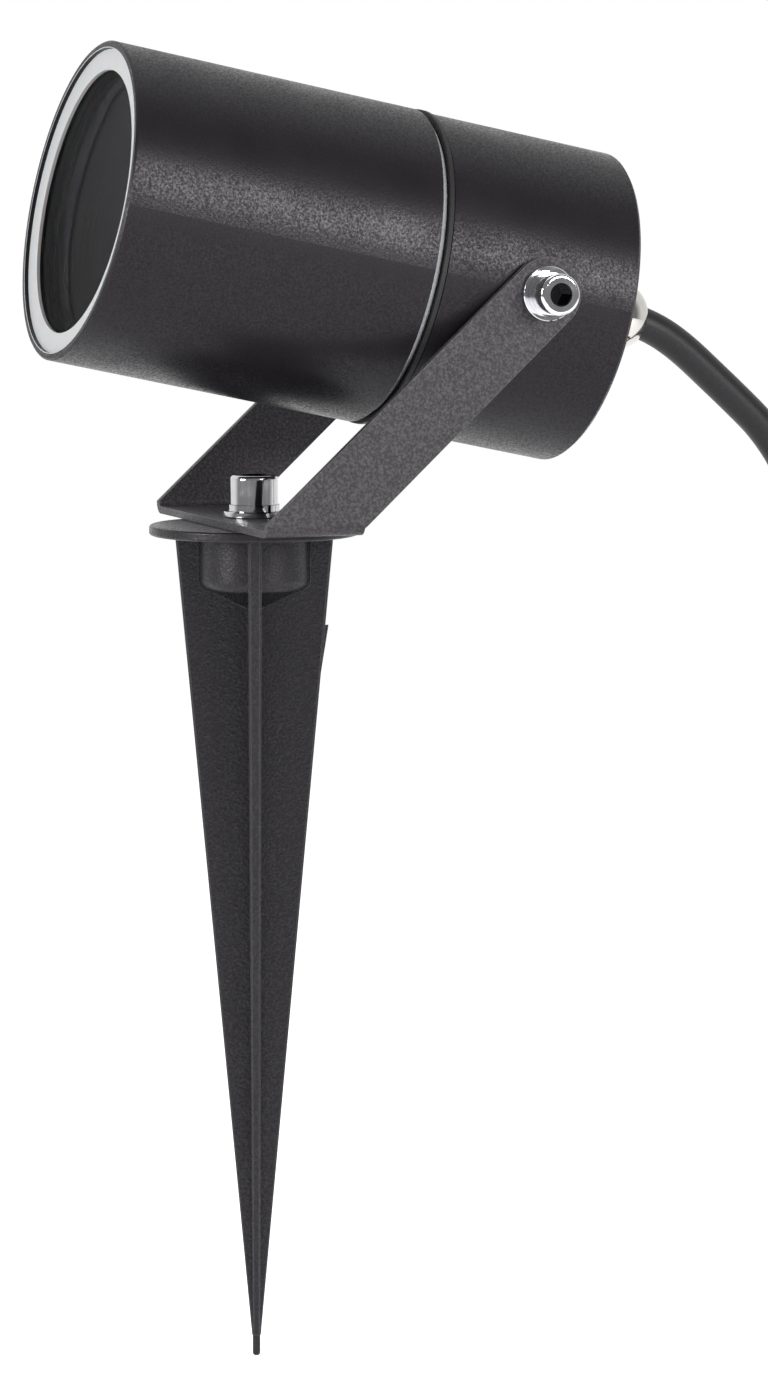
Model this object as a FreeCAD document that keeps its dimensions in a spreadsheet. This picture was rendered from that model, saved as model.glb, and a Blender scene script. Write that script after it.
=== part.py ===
"""Garden spike spotlight: a tilting two-piece aluminium barrel on a folded bracket and a ground spike.

Frame, in millimetres: the origin is the centre of the flange's underside, which is the ground line,
on the spike's axis. +Z is up, the light shines towards -Y and the tilt axis lies along X.
The head is drawn along its own Z axis, which points out of its front, with the tilt axis at Z = 0,
and is then placed on the tilt axis at its rest tilt.
"""

import FreeCAD
import Part

import math
import os

import Sketcher

Vector = FreeCAD.Vector

# Driving dimensions: name, value, and what it sizes. Lengths in millimetres, angles in degrees.
SIZES = (
    # Stance
    ("rest_tilt", 12.0, "angle of the barrel above the horizon at rest"),
    ("pivot_back", 50.0, "tilt axis behind the spike's axis"),
    ("pivot_height", 49.5, "tilt axis above the flange's underside"),
    ("spike_turn", 71.4, "turn of the blades about the spike's axis"),
    # Fits
    ("seat_gap", 0.05, "gap between two faces that meet"),
    ("running_gap", 0.05, "radial gap of a thread, spigot or ring in its bore"),
    ("hole_gap", 0.08, "radial gap of a screw in the bracket's clearance holes"),
    ("washer_gap", 0.2, "radial gap of a screw in a washer"),
    # Ground spike
    ("flange_radius", 21.4, "flange of the spike"),
    ("flange_thickness", 2.0, "flange of the spike"),
    ("flange_edge", 0.5, "rounding of the flange's rim"),
    ("boss_radius", 11.5, "boss under the flange"),
    ("boss_depth", 11.5, "underside of the boss, below the ground line"),
    ("boss_edge", 2.5, "rounding of the boss's lower edge"),
    ("boss_point", 16.0, "point where the boss's underside runs out on the axis"),
    ("blade_length", 170.66, "tip of the spike below the ground line"),
    ("blade_reach", 16.13, "blade's half width at the flange"),
    ("blade_thickness", 2.7, "blade at the flange"),
    ("blade_bevel", 0.45, "bevel along the blade's edges at the flange"),
    ("tip_reach", 0.9, "blade's half width at its lower end"),
    ("tip_thickness", 1.4, "blade at its lower end"),
    ("tip_bevel", 0.2, "bevel along the blade's edges at its lower end"),
    ("stub_radius", 0.8, "round stub below the blades"),
    ("stub_length", 4.4, "round stub below the blades"),
    ("stub_edge", 0.6, "rounding of the stub's end"),
    ("barb_depth", 18.6, "top of the barb below the ground line"),
    ("barb_length", 9.8, "length of the barb along the blade"),
    ("barb_proud", 0.65, "barb beyond the blade's edge at its top"),
    # Brass insert in the boss
    ("insert_radius", 4.2, "brass insert"),
    ("insert_length", 10.0, "brass insert"),
    ("insert_waist", 0.4, "depth of the groove round the insert"),
    ("insert_band", 3.0, "length of each of the insert's two bands"),
    ("drill_gap", 0.6, "room beyond the end of the base screw"),
    # Base screw, M6, with its washers
    ("base_shank_radius", 2.95, "base screw's thread"),
    ("base_shank_length", 16.0, "base screw's thread"),
    ("base_head_radius", 4.85, "base screw's head"),
    ("base_head_height", 5.9, "base screw's head"),
    ("base_key", 5.0, "base screw's hexagon socket, across flats"),
    ("base_key_depth", 3.0, "base screw's hexagon socket"),
    ("base_washer_radius", 6.3, "flat washer"),
    ("base_washer_thickness", 1.2, "flat washer"),
    ("base_spring_radius", 5.2, "spring washer"),
    ("base_spring_thickness", 1.3, "spring washer"),
    # Pivot screws, M5, with their washers
    ("pivot_shank_radius", 2.45, "pivot screw's thread"),
    ("pivot_shank_length", 10.0, "pivot screw's thread"),
    ("pivot_head_radius", 4.25, "pivot screw's head"),
    ("pivot_head_height", 5.0, "pivot screw's head"),
    ("pivot_key", 4.0, "pivot screw's hexagon socket, across flats"),
    ("pivot_key_depth", 2.6, "pivot screw's hexagon socket"),
    ("pivot_washer_radius", 5.5, "flat washer"),
    ("pivot_washer_thickness", 1.0, "flat washer"),
    ("pivot_spring_radius", 4.6, "spring washer"),
    ("pivot_spring_thickness", 1.1, "spring washer"),
    ("cap_edge", 0.8, "rounding round the top of a socket head"),
    ("thread_edge", 0.6, "bevel at the end of a thread"),
    ("washer_edge", 0.15, "bevel round a flat washer"),
    ("spring_slot", 8.0, "opening of a spring washer, in degrees"),
    ("spring_turn", 21.5, "turn of the base screw's spring washer, in degrees"),
    # Bracket
    ("sheet", 1.5, "steel strip of the bracket"),
    ("arm_clearance", 1.0, "inner face of an arm from the front barrel's skin"),
    ("bend_radius", 1.0, "inside of the bracket's bends"),
    ("plate_front", 9.43, "front edge of the base plate from the spike's axis"),
    ("plate_rear", 11.23, "rear edge of the base plate from the spike's axis"),
    ("arm_end_radius", 7.3, "round end of an arm about the tilt axis"),
    ("arm_front_rise", 2.5, "straight part of an arm's front edge above the plate's underside"),
    ("arm_rear_rise", 1.5, "straight part of an arm's rear edge above the plate's underside"),
    # Spacers between arms and barrel
    ("spacer_radius", 6.0, "nylon spacer between arm and barrel"),
    ("spot_face_depth", 0.7, "flat seat for the spacer, below the barrel's skin"),
    ("spot_face_margin", 0.3, "flat seat beyond the spacer"),
    # Rear barrel
    ("rear_step", 0.2, "rear barrel's skin below the front barrel's"),
    ("rear_reach", 20.6, "rear face behind the tilt axis"),
    ("rear_wall", 5.0, "end wall"),
    ("rear_side", 4.7, "side wall of the rear barrel"),
    ("rear_edge", 0.7, "bevel round the rear face"),
    ("seam_reach", 21.1, "joint face ahead of the tilt axis"),
    ("seam_edge", 0.3, "bevel at the joint face"),
    ("spigot_length", 9.9, "threaded spigot that the front barrel screws onto"),
    ("spigot_edge", 0.8, "bevel at the spigot's end"),
    # Joint seal
    ("seal_thickness", 0.8, "rubber seal between the barrels"),
    ("seal_proud", 0.35, "seal beyond the rear barrel's skin"),
    ("seal_fit", 0.1, "radial gap of the seal on the spigot"),
    # Front barrel
    ("front_radius", 32.5, "front barrel"),
    ("front_length", 67.0, "front barrel"),
    ("front_wall", 3.3, "side wall of the front barrel"),
    ("thread_wall", 2.85, "front barrel's wall round its threaded bore"),
    ("thread_length", 12.0, "threaded bore at the rear of the front barrel"),
    ("joint_bevel", 1.5, "bare machined bevel at the seam"),
    ("rim_bevel", 0.4, "bevel round the front rim"),
    ("rim_wall", 1.5, "front barrel's wall round the gasket"),
    ("glass_seat_depth", 6.9, "counterbore for glass and gasket"),
    ("ledge_width", 4.0, "ledge that the gasket seats on, from its bore inwards"),
    ("ledge_thickness", 2.0, "ledge that the gasket seats on"),
    # Gasket and glass
    ("gasket_width", 4.2, "gasket from its outer to its inner edge"),
    ("gasket_wall", 1.05, "gasket round the glass"),
    ("gasket_lip", 1.0, "gasket before and behind the glass"),
    ("gasket_slope", 0.3, "fall of the front lip towards the glass"),
    ("glass_thickness", 3.9, "front glass"),
    # Cable gland, in distances behind the rear face
    ("cable_hole", 6.0, "radius of the tapped hole in the end wall"),
    ("gland_inside", 1.2, "gland's thread beyond the inside of the end wall"),
    ("gland_flange", 4.0, "gland's hexagon flange"),
    ("gland_flats", 14.5, "gland's hexagon flange, across flats"),
    ("gland_tube", 5.6, "radius of the gland's outer thread"),
    ("gland_tube_end", 8.0, "end of the gland's outer thread"),
    ("gland_bore", 3.8, "radius of the gland's bore"),
    ("gland_seat_radius", 4.9, "seat of the gland's seal"),
    ("gland_seat", 3.0, "bottom of that seat"),
    ("cap_radius", 7.4, "dome nut"),
    ("cap_start", 4.3, "rear face to the dome nut"),
    ("cap_dome", 9.0, "centre of the dome"),
    ("cap_mouth", 4.5, "radius of the dome's mouth"),
    ("cap_throat", 4.1, "least radius of the dome nut's bore"),
    # Supply cable
    ("cable_radius", 3.45, "sheath of the supply cable"),
    ("cable_inside", 2.0, "sheath beyond the inside of the end wall"),
    ("core_radius", 1.1, "insulated core"),
    # Lampholder and its bracket
    ("hat_thickness", 1.2, "strip of the lampholder's bracket"),
    ("hat_width", 16.0, "strip of the lampholder's bracket"),
    ("hat_clearance", 2.6, "end of a foot from the barrel's side wall"),
    ("hat_top", 7.2, "top of the strip ahead of the tilt axis"),
    ("hat_bend", 0.6, "inside of the strip's bends"),
    ("foot_end", 4.0, "foot screw from the end of its foot, and from the leg"),
    ("holder_radius", 14.0, "ceramic lampholder"),
    ("holder_height", 12.0, "ceramic lampholder"),
    ("holder_edge", 0.8, "bevel round the lampholder's face"),
    ("pin_pitch", 10.0, "spacing of the lamp's two pins"),
    ("pin_hole", 2.6, "radius of a pin hole"),
    ("pin_neck", 1.6, "half width of the slot that a pin turns into"),
    ("pin_turn", 34.0, "turn of the lamp in its slots, in degrees"),
    ("pin_depth", 8.5, "pin holes"),
    ("holder_screw", 9.5, "lampholder's screw from the middle"),
    ("screw_well", 3.0, "radius of the well for a lampholder's screw"),
    ("screw_well_depth", 5.0, "well for a lampholder's screw"),
    # Small pan-head screws, M3
    ("small_shank", 1.45, "radius of a small screw's thread"),
    ("small_head", 2.75, "radius of a small screw's head"),
    ("small_head_height", 2.0, "small screw's head"),
    ("small_edge", 0.5, "bevel round a small screw's head"),
    ("small_length", 4.0, "thread of a small screw in the end wall"),
    ("small_drill", 4.3, "depth of a tapped hole in the end wall"),
    ("small_hole_gap", 0.15, "radial gap of a small screw in a clearance hole"),
    ("drive_width", 0.5, "half width of a small screw's slot"),
    ("drive_depth", 0.9, "small screw's slot"),
    # Terminal block
    ("block_half", 8.5, "half length of the terminal block"),
    ("block_near", 7.5, "near side of the block from the barrel's axis"),
    ("block_margin", 6.1, "far side of the block from the barrel's side wall"),
    ("block_height", 13.0, "terminal block"),
    ("pole", 4.2, "pole of the block from the middle"),
    ("pole_screw", 1.6, "radius of the block's screw holes"),
    ("pole_screw_depth", 5.0, "block's screw holes"),
    ("wire_level", 6.6, "cores in the block above the end wall"),
    ("core_fan", 3.0, "rise of the live and neutral cores where they spread"),
    ("lead_bow", 3.0, "lamp lead beyond the block before it turns up"),
    ("lead_rise", 8.0, "lamp lead's upward run beside the block"),
    ("lead_end", 5.0, "lamp lead's last run, up to the lampholder"),
    ("lead_clearance", 3.0, "lamp lead from the edge of the lampholder's strip"),
    # Earth tag
    ("earth_place", 16.0, "earth screw from the barrel's axis"),
    ("tag_radius", 3.6, "earth tag round its screw"),
    ("tag_thickness", 0.8, "earth tag"),
    ("tag_barrel", 1.6, "radius of the tag's crimp barrel"),
    ("tag_lift", 0.2, "crimp barrel above the underside of the tag"),
    ("tag_barrel_end", 9.4, "end of the crimp barrel from the barrel's axis"),
    ("earth_rise", 3.2, "earth core above the sheath's end where it turns"),
    ("earth_turn", 5.2, "earth core from the barrel's axis where it turns down"),
    ("earth_lead", 2.6, "earth core's last run, up to the crimp barrel"),
    # Coil of spare cable on the ground
    ("coil_radius", 48.0, "outermost turn of the coil"),
    ("coil_pitch", 7.9, "spacing of the coil's turns"),
    ("coil_rise", 7.6, "spacing of the coil's two layers"),
    ("coil_turns", 2.0, "turns in each layer"),
    ("coil_swing", 35.0, "heading of the cable into the coil, to the left of straight back, in degrees"),
    ("tie_width", 6.0, "tie round the coil"),
    ("tie_thickness", 0.75, "tie round the coil"),
    ("tie_gap", 0.15, "gap of the tie above and below the turns"),
    ("tie_side_gap", 0.35, "gap of the tie beside the turns"),
    ("tail_length", 24.0, "sheathed end of the cable beyond the coil"),
    ("tail_core_length", 20.0, "bared cores at the cable's end"),
    ("ferrule_radius", 1.3, "collar of a wire-end ferrule"),
    ("ferrule_collar", 5.0, "collar of a wire-end ferrule"),
    ("ferrule_pin", 0.75, "radius of a ferrule's pin"),
    ("ferrule_length", 8.0, "pin of a ferrule"),
    ("core_circle", 1.6, "cores from the middle of the cable"),
)

# Route of the free cable behind the lamp, from where it has left the gland down to the ground, where it
# swings towards the coil. The two points before these lie on the gland's axis and are worked out.
FREE_ROUTE = (
    (0.0, 89.55, 39.8),
    (0.0, 94.9, 36.1),
    (0.0, 100.8, 30.7),
    (0.0, 106.6, 23.8),
    (0.0, 112.1, 14.3),
    (0.0, 116.9, 1.1),
    (0.0, 120.3, -16.6),
    (0.0, 122.1, -42.5),
    (0.0, 122.4, -78.5),
    (0.0, 122.0, -107.0),
    (0.0, 122.4, -127.56),
    (-1.93, 125.15, -140.12),
    (-5.37, 130.07, -150.51),
    (-9.83, 136.44, -158.29),
    (-15.04, 143.89, -163.54),
    (-20.75, 152.04, -166.2),
    (-26.66, 160.47, -166.2),
)
FIRST_RUN = 6.0  # straight cable from the gland's split plane to the first bend
BEND_SHARE = 0.45  # part of the shorter run that a bend takes up
TOUCH = 1e-6  # two points closer than this are one
GAP_STEP = 2.5  # spacing of the points at which the coil's gap to itself is measured
GAP_SPAN = 8  # cable radii along the coil below which two such points are neighbours

# Radii of the barrels, each from the front barrel's skin inwards, and what is set out from them.
REAR_RADIUS = "(Size.front_radius - Size.rear_step)"
REAR_BORE = "(Size.front_radius - Size.rear_step - Size.rear_side)"
THREAD_BORE = "(Size.front_radius - Size.thread_wall)"
SPIGOT_RADIUS = "(Size.front_radius - Size.thread_wall - Size.running_gap)"
GASKET_BORE = "(Size.front_radius - Size.rim_wall)"
ARM_SPAN = "(Size.front_radius + Size.arm_clearance + Size.sheet)"

# Heights of the stack on the spike, each from the one below it.
INSERT_END = "Size.flange_thickness - Size.insert_length"
PLATE_UNDER = "Size.flange_thickness + Size.seat_gap"
PLATE_TOP = PLATE_UNDER + " + Size.sheet"
BASE_WASHER_SEAT = PLATE_TOP + " + Size.seat_gap"
BASE_SPRING_SEAT = BASE_WASHER_SEAT + " + Size.base_washer_thickness + Size.seat_gap"
BASE_SCREW_SEAT = BASE_SPRING_SEAT + " + Size.base_spring_thickness + Size.seat_gap"
SCREW_HOLE_DEPTH = "Size.base_shank_length + Size.drill_gap - (%s)" % BASE_SCREW_SEAT
BLADE_END = "Size.blade_length - Size.stub_length"

# Stack on the tilt axis, from the middle outwards.
SPACER_SEAT = REAR_RADIUS + " - Size.spot_face_depth + Size.seat_gap"
SPACER_END = ARM_SPAN + " - Size.sheet - Size.seat_gap"

doc = FreeCAD.newDocument("GardenSpikeSpotlight")


# ---------------------------------------------------------------- helpers

def make_sheet():
    """Write the driving dimensions into the spreadsheet Size, one row each."""
    sheet = doc.addObject("Spreadsheet::Sheet", "Size")
    for row, (alias, number, meaning) in enumerate(SIZES, start=1):
        sheet.set("A%d" % row, meaning)
        sheet.set("B%d" % row, str(number))
        sheet.setAlias("B%d" % row, alias)
    doc.recompute()
    return sheet


def value(expression):
    """Return what an expression in the sheet's names comes to."""
    return float(doc.Size.evalExpression(expression))


def new_body(label):
    """Return a new PartDesign body whose label names its file."""
    body = doc.addObject("PartDesign::Body", label)
    body.Label = label
    return body


def bind(item, **expressions):
    """Bind properties of an object to expressions; a double underscore stands for a dot."""
    for name, expression in expressions.items():
        item.setExpression(name.replace("__", "."), expression)


def sketch_on(body, plane_role, across="0", up="0", out="0"):
    """Return a sketch on an origin plane of the body, moved in and off that plane."""
    sketch = body.newObject("Sketcher::SketchObject", body.Name + "_sketch")
    plane = next(item for item in body.Origin.OriginFeatures if item.Role == plane_role)
    sketch.AttachmentSupport = [(plane, "")]
    sketch.MapMode = "FlatFace"
    bind(sketch, AttachmentOffset__Base__x=across, AttachmentOffset__Base__y=up,
         AttachmentOffset__Base__z=out)
    return sketch


def fix_point(sketch, edge, end, across, up):
    """Tie one end of a sketch edge to two expressions."""
    for kind, expression in (("DistanceX", across), ("DistanceY", up)):
        rule = Sketcher.Constraint(kind, -1, 1, edge, end, value(expression))
        sketch.setExpression("Constraints[%d]" % sketch.addConstraint(rule), expression)


def set_radius(sketch, edge, radius):
    """Tie the radius of a sketch arc or circle to an expression."""
    rule = Sketcher.Constraint("Radius", edge, value(radius))
    sketch.setExpression("Constraints[%d]" % sketch.addConstraint(rule), radius)


def arc_between(start, end, radius, side):
    """Return the lesser arc from start to end that bulges to the left (1) or right (-1)."""
    chord = end - start
    half = chord.Length / 2
    rise = radius - math.sqrt(max(radius * radius - half * half, 0))
    left = Vector(-chord.y, chord.x, 0).normalize()
    return Part.Arc(start, (start + end) / 2 + left * rise * side, end)


def outline(sketch, corners):
    """Close an outline through corners (across, up), each tied to its two expressions.

    A corner with two more entries, a radius and a side, ends an arc instead of a line.
    """
    places = [Vector(value(corner[0]), value(corner[1]), 0) for corner in corners]
    edges = []
    for index, corner in enumerate(corners):
        start, end = places[index - 1], places[index]
        if len(corner) == 2:
            edge = sketch.addGeometry(Part.LineSegment(start, end), False)
        else:
            edge = sketch.addGeometry(arc_between(start, end, value(corner[2]), corner[3]), False)
            set_radius(sketch, edge, corner[2])
        first_end = 1 if sketch.getPoint(edge, 1).distanceToPoint(start) < TOUCH else 2
        edges.append((edge, first_end, 3 - first_end))
        fix_point(sketch, edge, 3 - first_end, corner[0], corner[1])
    for index, (edge, first_end, _) in enumerate(edges):
        previous, _, last_end = edges[index - 1]
        sketch.addConstraint(Sketcher.Constraint("Coincident", previous, last_end, edge, first_end))


def box_outline(sketch, left, right, low, high):
    """Draw a rectangle between four expressions."""
    outline(sketch, ((left, low), (right, low), (right, high), (left, high)))


def circle(sketch, radius, across="0", up="0"):
    """Draw a circle whose radius and centre are expressions."""
    centre = Vector(value(across), value(up), 0)
    edge = sketch.addGeometry(Part.Circle(centre, Vector(0, 0, 1), value(radius)), False)
    set_radius(sketch, edge, radius)
    fix_point(sketch, edge, 3, across, up)


def hexagon(sketch, flats):
    """Draw a hexagon about the origin, given the distance across its flats."""
    corners = []
    for step in range(6):
        turn = 30 + 60 * step
        corners.append(("%s / sqrt(3) * cos(%d)" % (flats, turn), "%s / sqrt(3) * sin(%d)" % (flats, turn)))
    outline(sketch, corners)


def revolve(body, corners, across="0", out="0"):
    """Turn an outline (radius, height) about a line parallel to Z at (across, -out)."""
    sketch = sketch_on(body, "XZ_Plane", across, "0", out)
    outline(sketch, corners)
    feature = body.newObject("PartDesign::Revolution", body.Name + "_revolution")
    feature.Profile = sketch
    feature.ReferenceAxis = (sketch, ["V_Axis"])
    feature.Angle = 360
    body.Tip = feature
    return feature


def groove(body, corners, across="0", out="0"):
    """Cut a turned outline (radius, height) about a line parallel to Z at (across, -out)."""
    doc.recompute()
    before = body.Shape.Volume
    sketch = sketch_on(body, "XZ_Plane", across, "0", out)
    outline(sketch, corners)
    feature = body.newObject("PartDesign::Groove", body.Name + "_groove")
    feature.Profile = sketch
    feature.ReferenceAxis = (sketch, ["V_Axis"])
    feature.Angle = 360
    body.Tip = feature
    check_cut(body, before)
    return feature


def pad(body, sketch, length, symmetric=False):
    """Raise a sketch off its plane by an expression."""
    feature = body.newObject("PartDesign::Pad", body.Name + "_pad")
    feature.Profile = sketch
    feature.Midplane = symmetric
    bind(feature, Length=length)
    body.Tip = feature
    return feature


def pocket(body, sketch, depth=None):
    """Cut a sketch into the body, against the sketch's normal; without a depth, both ways through."""
    doc.recompute()
    before = body.Shape.Volume
    feature = body.newObject("PartDesign::Pocket", body.Name + "_pocket")
    feature.Profile = sketch
    if depth is None:
        feature.Type = "ThroughAll"
        feature.Midplane = True
    else:
        bind(feature, Length=depth)
    body.Tip = feature
    check_cut(body, before)
    return feature


def check_cut(body, volume_before):
    """Stop if the last cut took nothing away."""
    doc.recompute()
    if body.Shape.Volume > volume_before - TOUCH:
        raise RuntimeError("a cut in %s takes nothing away" % body.Label)


def mirror(body, feature, plane_role):
    """Repeat a feature on the other side of one of the body's origin planes."""
    plane = next(item for item in body.Origin.OriginFeatures if item.Role == plane_role)
    repeat = body.newObject("PartDesign::Mirrored", body.Name + "_mirrored")
    repeat.Originals = [feature]
    repeat.MirrorPlane = (plane, [""])
    body.Tip = repeat
    return repeat


def repeat_round(body, feature, count):
    """Repeat a feature evenly round the body's Z axis."""
    axis = next(item for item in body.Origin.OriginFeatures if item.Role == "Z_Axis")
    pattern = body.newObject("PartDesign::PolarPattern", body.Name + "_polar")
    pattern.Originals = [feature]
    pattern.Axis = (axis, [""])
    pattern.Angle = 360
    pattern.Occurrences = count
    body.Tip = pattern
    return pattern


def round_edges(body, radius, chosen):
    """Fillet the edges of the body that the test chosen picks."""
    doc.recompute()
    base = body.Tip
    names = []
    for number, edge in enumerate(base.Shape.Edges, start=1):
        if chosen(edge):
            names.append("Edge%d" % number)
    fillet = body.newObject("PartDesign::Fillet", body.Name + "_fillet")
    fillet.Base = (base, names)
    bind(fillet, Radius=radius)
    body.Tip = fillet
    return fillet


def on_head(body):
    """Place a body that is drawn along the barrel's axis on the tilt axis, at the rest tilt."""
    body.Placement = head_placement()
    bind(body, Placement__Base__y="Size.pivot_back", Placement__Base__z="Size.pivot_height",
         Placement__Rotation__Angle="90 - Size.rest_tilt")
    return body


def head_placement():
    """Return the head's placement at rest, worked out from the sheet."""
    turn = FreeCAD.Rotation(Vector(1, 0, 0), 90 - value("Size.rest_tilt"))
    return FreeCAD.Placement(Vector(0, value("Size.pivot_back"), value("Size.pivot_height")), turn)


def pivot_pair(label, body, seat):
    """Lay a body's Z axis along the tilt axis, seated at seat, and pair it with its mirror image."""
    body.Placement = FreeCAD.Placement(Vector(0, 0, 0), FreeCAD.Rotation(Vector(0, 1, 0), 90))
    bind(body, Placement__Base__x=seat, Placement__Base__y="Size.pivot_back",
         Placement__Base__z="Size.pivot_height")
    return mirrored_pair(label, body)


def mirrored_pair(label, body):
    """Group a body with its mirror image across the middle plane, as one sub-part."""
    image = doc.addObject("Part::Mirroring", label + "_image")
    image.Source = body
    image.Base = Vector(0, 0, 0)
    image.Normal = Vector(1, 0, 0)
    return group(label, [body, image])


def group(label, members):
    """Group separate solids as one sub-part."""
    compound = doc.addObject("Part::Compound", label)
    compound.Label = label
    compound.Links = members
    return compound


def feature_of(label, shape, placement=None):
    """Return a Part::Feature with a finished shape, placed after the shape is set."""
    feature = doc.addObject("Part::Feature", label)
    feature.Label = label
    feature.Shape = shape
    feature.Placement = placement or FreeCAD.Placement()
    return feature


def bent_wire(points, label):
    """Return straight runs joined by tangent arcs, and print the least radius."""
    edges = []
    radii = []
    here = points[0]
    for before, corner, after in zip(points, points[1:], points[2:]):
        back = before - corner
        ahead = after - corner
        reach = BEND_SHARE * min(back.Length, ahead.Length)
        half_turn = (math.pi - back.getAngle(ahead)) / 2
        radius = reach / math.tan(half_turn)
        back.normalize()
        ahead.normalize()
        middle = corner + (back + ahead).normalize() * radius * (1 / math.cos(half_turn) - 1)
        start = corner + back * reach
        end = corner + ahead * reach
        edges.append(Part.LineSegment(here, start).toShape())
        edges.append(Part.Arc(start, middle, end).toShape())
        radii.append(radius)
        here = end
    edges.append(Part.LineSegment(here, points[-1]).toShape())
    print("%s: bend radii %s mm" % (label, ", ".join("%.1f" % radius for radius in radii)))
    return Part.Wire(edges)


def tube(wire, radius, label):
    """Sweep a circle along a wire, and print the volume against section times length."""
    first = wire.Edges[0]
    start = first.valueAt(first.FirstParameter)
    along = first.tangentAt(first.FirstParameter)
    ring = Part.Wire(Part.makeCircle(radius, start, along))
    solid = wire.makePipeShell([ring], True, False)
    ideal = math.pi * radius * radius * wire.Length
    share = solid.Volume / ideal
    print("%s: length %.1f mm, volume %.4f of section times length" % (label, wire.Length, share))
    return solid


# ---------------------------------------------------------------- ground spike

def blade_section(body, depth, along_x, reach, thickness, bevel):
    """Draw a blade's cross-section, a bevelled strip, at a depth below the ground line."""
    sketch = sketch_on(body, "XY_Plane", out="-(%s)" % depth)
    half = "(%s) / 2" % thickness
    corners = []
    for side in ("", "-"):
        corners.append((side + "(%s)" % reach, side + "(%s - %s)" % (half, bevel)))
        corners.append((side + "(%s - %s)" % (reach, bevel), side + "(%s)" % half))
        corners.append(("%s(%s - %s)" % ("-" if side == "" else "", reach, bevel), side + "(%s)" % half))
        corners.append(("%s(%s)" % ("-" if side == "" else "", reach), side + "(%s - %s)" % (half, bevel)))
    if not along_x:
        corners = [(up, across) for across, up in corners]
    outline(sketch, corners)
    return sketch


def add_blade(body, along_x):
    """Loft one of the two crossing blades from the flange down to the stub."""
    top = blade_section(body, "0", along_x, "Size.blade_reach", "Size.blade_thickness", "Size.blade_bevel")
    end = blade_section(body, BLADE_END, along_x, "Size.tip_reach", "Size.tip_thickness",
                        "Size.tip_bevel")
    loft = body.newObject("PartDesign::AdditiveLoft", body.Name + "_blade")
    loft.Profile = top
    loft.Sections = [end]
    loft.Ruled = True
    body.Tip = loft


def blade_edge(depth):
    """Return the expression for a blade's half width at a depth below the ground line."""
    fall = "(Size.blade_reach - Size.tip_reach) / (%s)" % BLADE_END
    return "Size.blade_reach - (%s) * %s" % (depth, fall)


def make_ground_spike():
    """Moulded spike: flange, boss and two crossing blades that taper to a blunt stub."""
    body = new_body("ground_spike")
    revolve(body, (
        ("0", "Size.flange_thickness"),
        ("0", "-Size.boss_point"),
        ("Size.boss_radius - Size.boss_edge", "-Size.boss_depth"),
        ("Size.boss_radius", "Size.boss_edge - Size.boss_depth", "Size.boss_edge", -1),
        ("Size.boss_radius", "0"),
        ("Size.flange_radius - Size.flange_edge", "0"),
        ("Size.flange_radius", "Size.flange_edge", "Size.flange_edge", -1),
        ("Size.flange_radius", "Size.flange_thickness - Size.flange_edge"),
        ("Size.flange_radius - Size.flange_edge", "Size.flange_thickness", "Size.flange_edge", -1),
    ))
    add_blade(body, along_x=True)
    add_blade(body, along_x=False)
    stub_top = "Size.stub_length - (%s)" % BLADE_END
    revolve(body, (
        ("0", stub_top),
        ("0", "-Size.blade_length"),
        ("Size.stub_radius - Size.stub_edge", "-Size.blade_length"),
        ("Size.stub_radius", "Size.stub_edge - Size.blade_length", "Size.stub_edge", -1),
        ("Size.stub_radius", stub_top),
    ))
    barb_end = "Size.barb_depth + Size.barb_length"
    root = " - Size.barb_proud - Size.blade_bevel"
    barb = sketch_on(body, "XZ_Plane")
    outline(barb, (
        (blade_edge("Size.barb_depth") + root, "-Size.barb_depth"),
        (blade_edge(barb_end) + root, "-(%s)" % barb_end),
        (blade_edge(barb_end), "-(%s)" % barb_end),
        (blade_edge("Size.barb_depth") + " + Size.barb_proud", "-Size.barb_depth"),
    ))
    pad(body, barb, "Size.tip_thickness", symmetric=True)
    groove(body, (
        ("0", "Size.flange_thickness"),
        ("0", "-(%s)" % SCREW_HOLE_DEPTH),
        ("Size.base_shank_radius + Size.hole_gap", "-(%s)" % SCREW_HOLE_DEPTH),
        ("Size.base_shank_radius + Size.hole_gap", "%s - Size.seat_gap" % INSERT_END),
        ("Size.insert_radius + Size.running_gap", "%s - Size.seat_gap" % INSERT_END),
        ("Size.insert_radius + Size.running_gap", "Size.flange_thickness"),
    ))
    bind(body, Placement__Rotation__Angle="Size.spike_turn")
    return body


def make_spike_insert():
    """Brass insert moulded into the boss, with a groove round its middle."""
    body = new_body("spike_insert")
    bore = "Size.base_shank_radius + Size.running_gap"
    waist = "Size.insert_radius - Size.insert_waist"
    upper = "Size.flange_thickness - Size.insert_band"
    lower = INSERT_END + " + Size.insert_band"
    revolve(body, (
        (bore, "Size.flange_thickness"),
        (bore, INSERT_END),
        ("Size.insert_radius", INSERT_END),
        ("Size.insert_radius", lower),
        (waist, lower + " + Size.insert_waist"),
        (waist, upper + " - Size.insert_waist"),
        ("Size.insert_radius", upper),
        ("Size.insert_radius", "Size.flange_thickness"),
    ))
    return body


# ---------------------------------------------------------------- screws and washers

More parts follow.
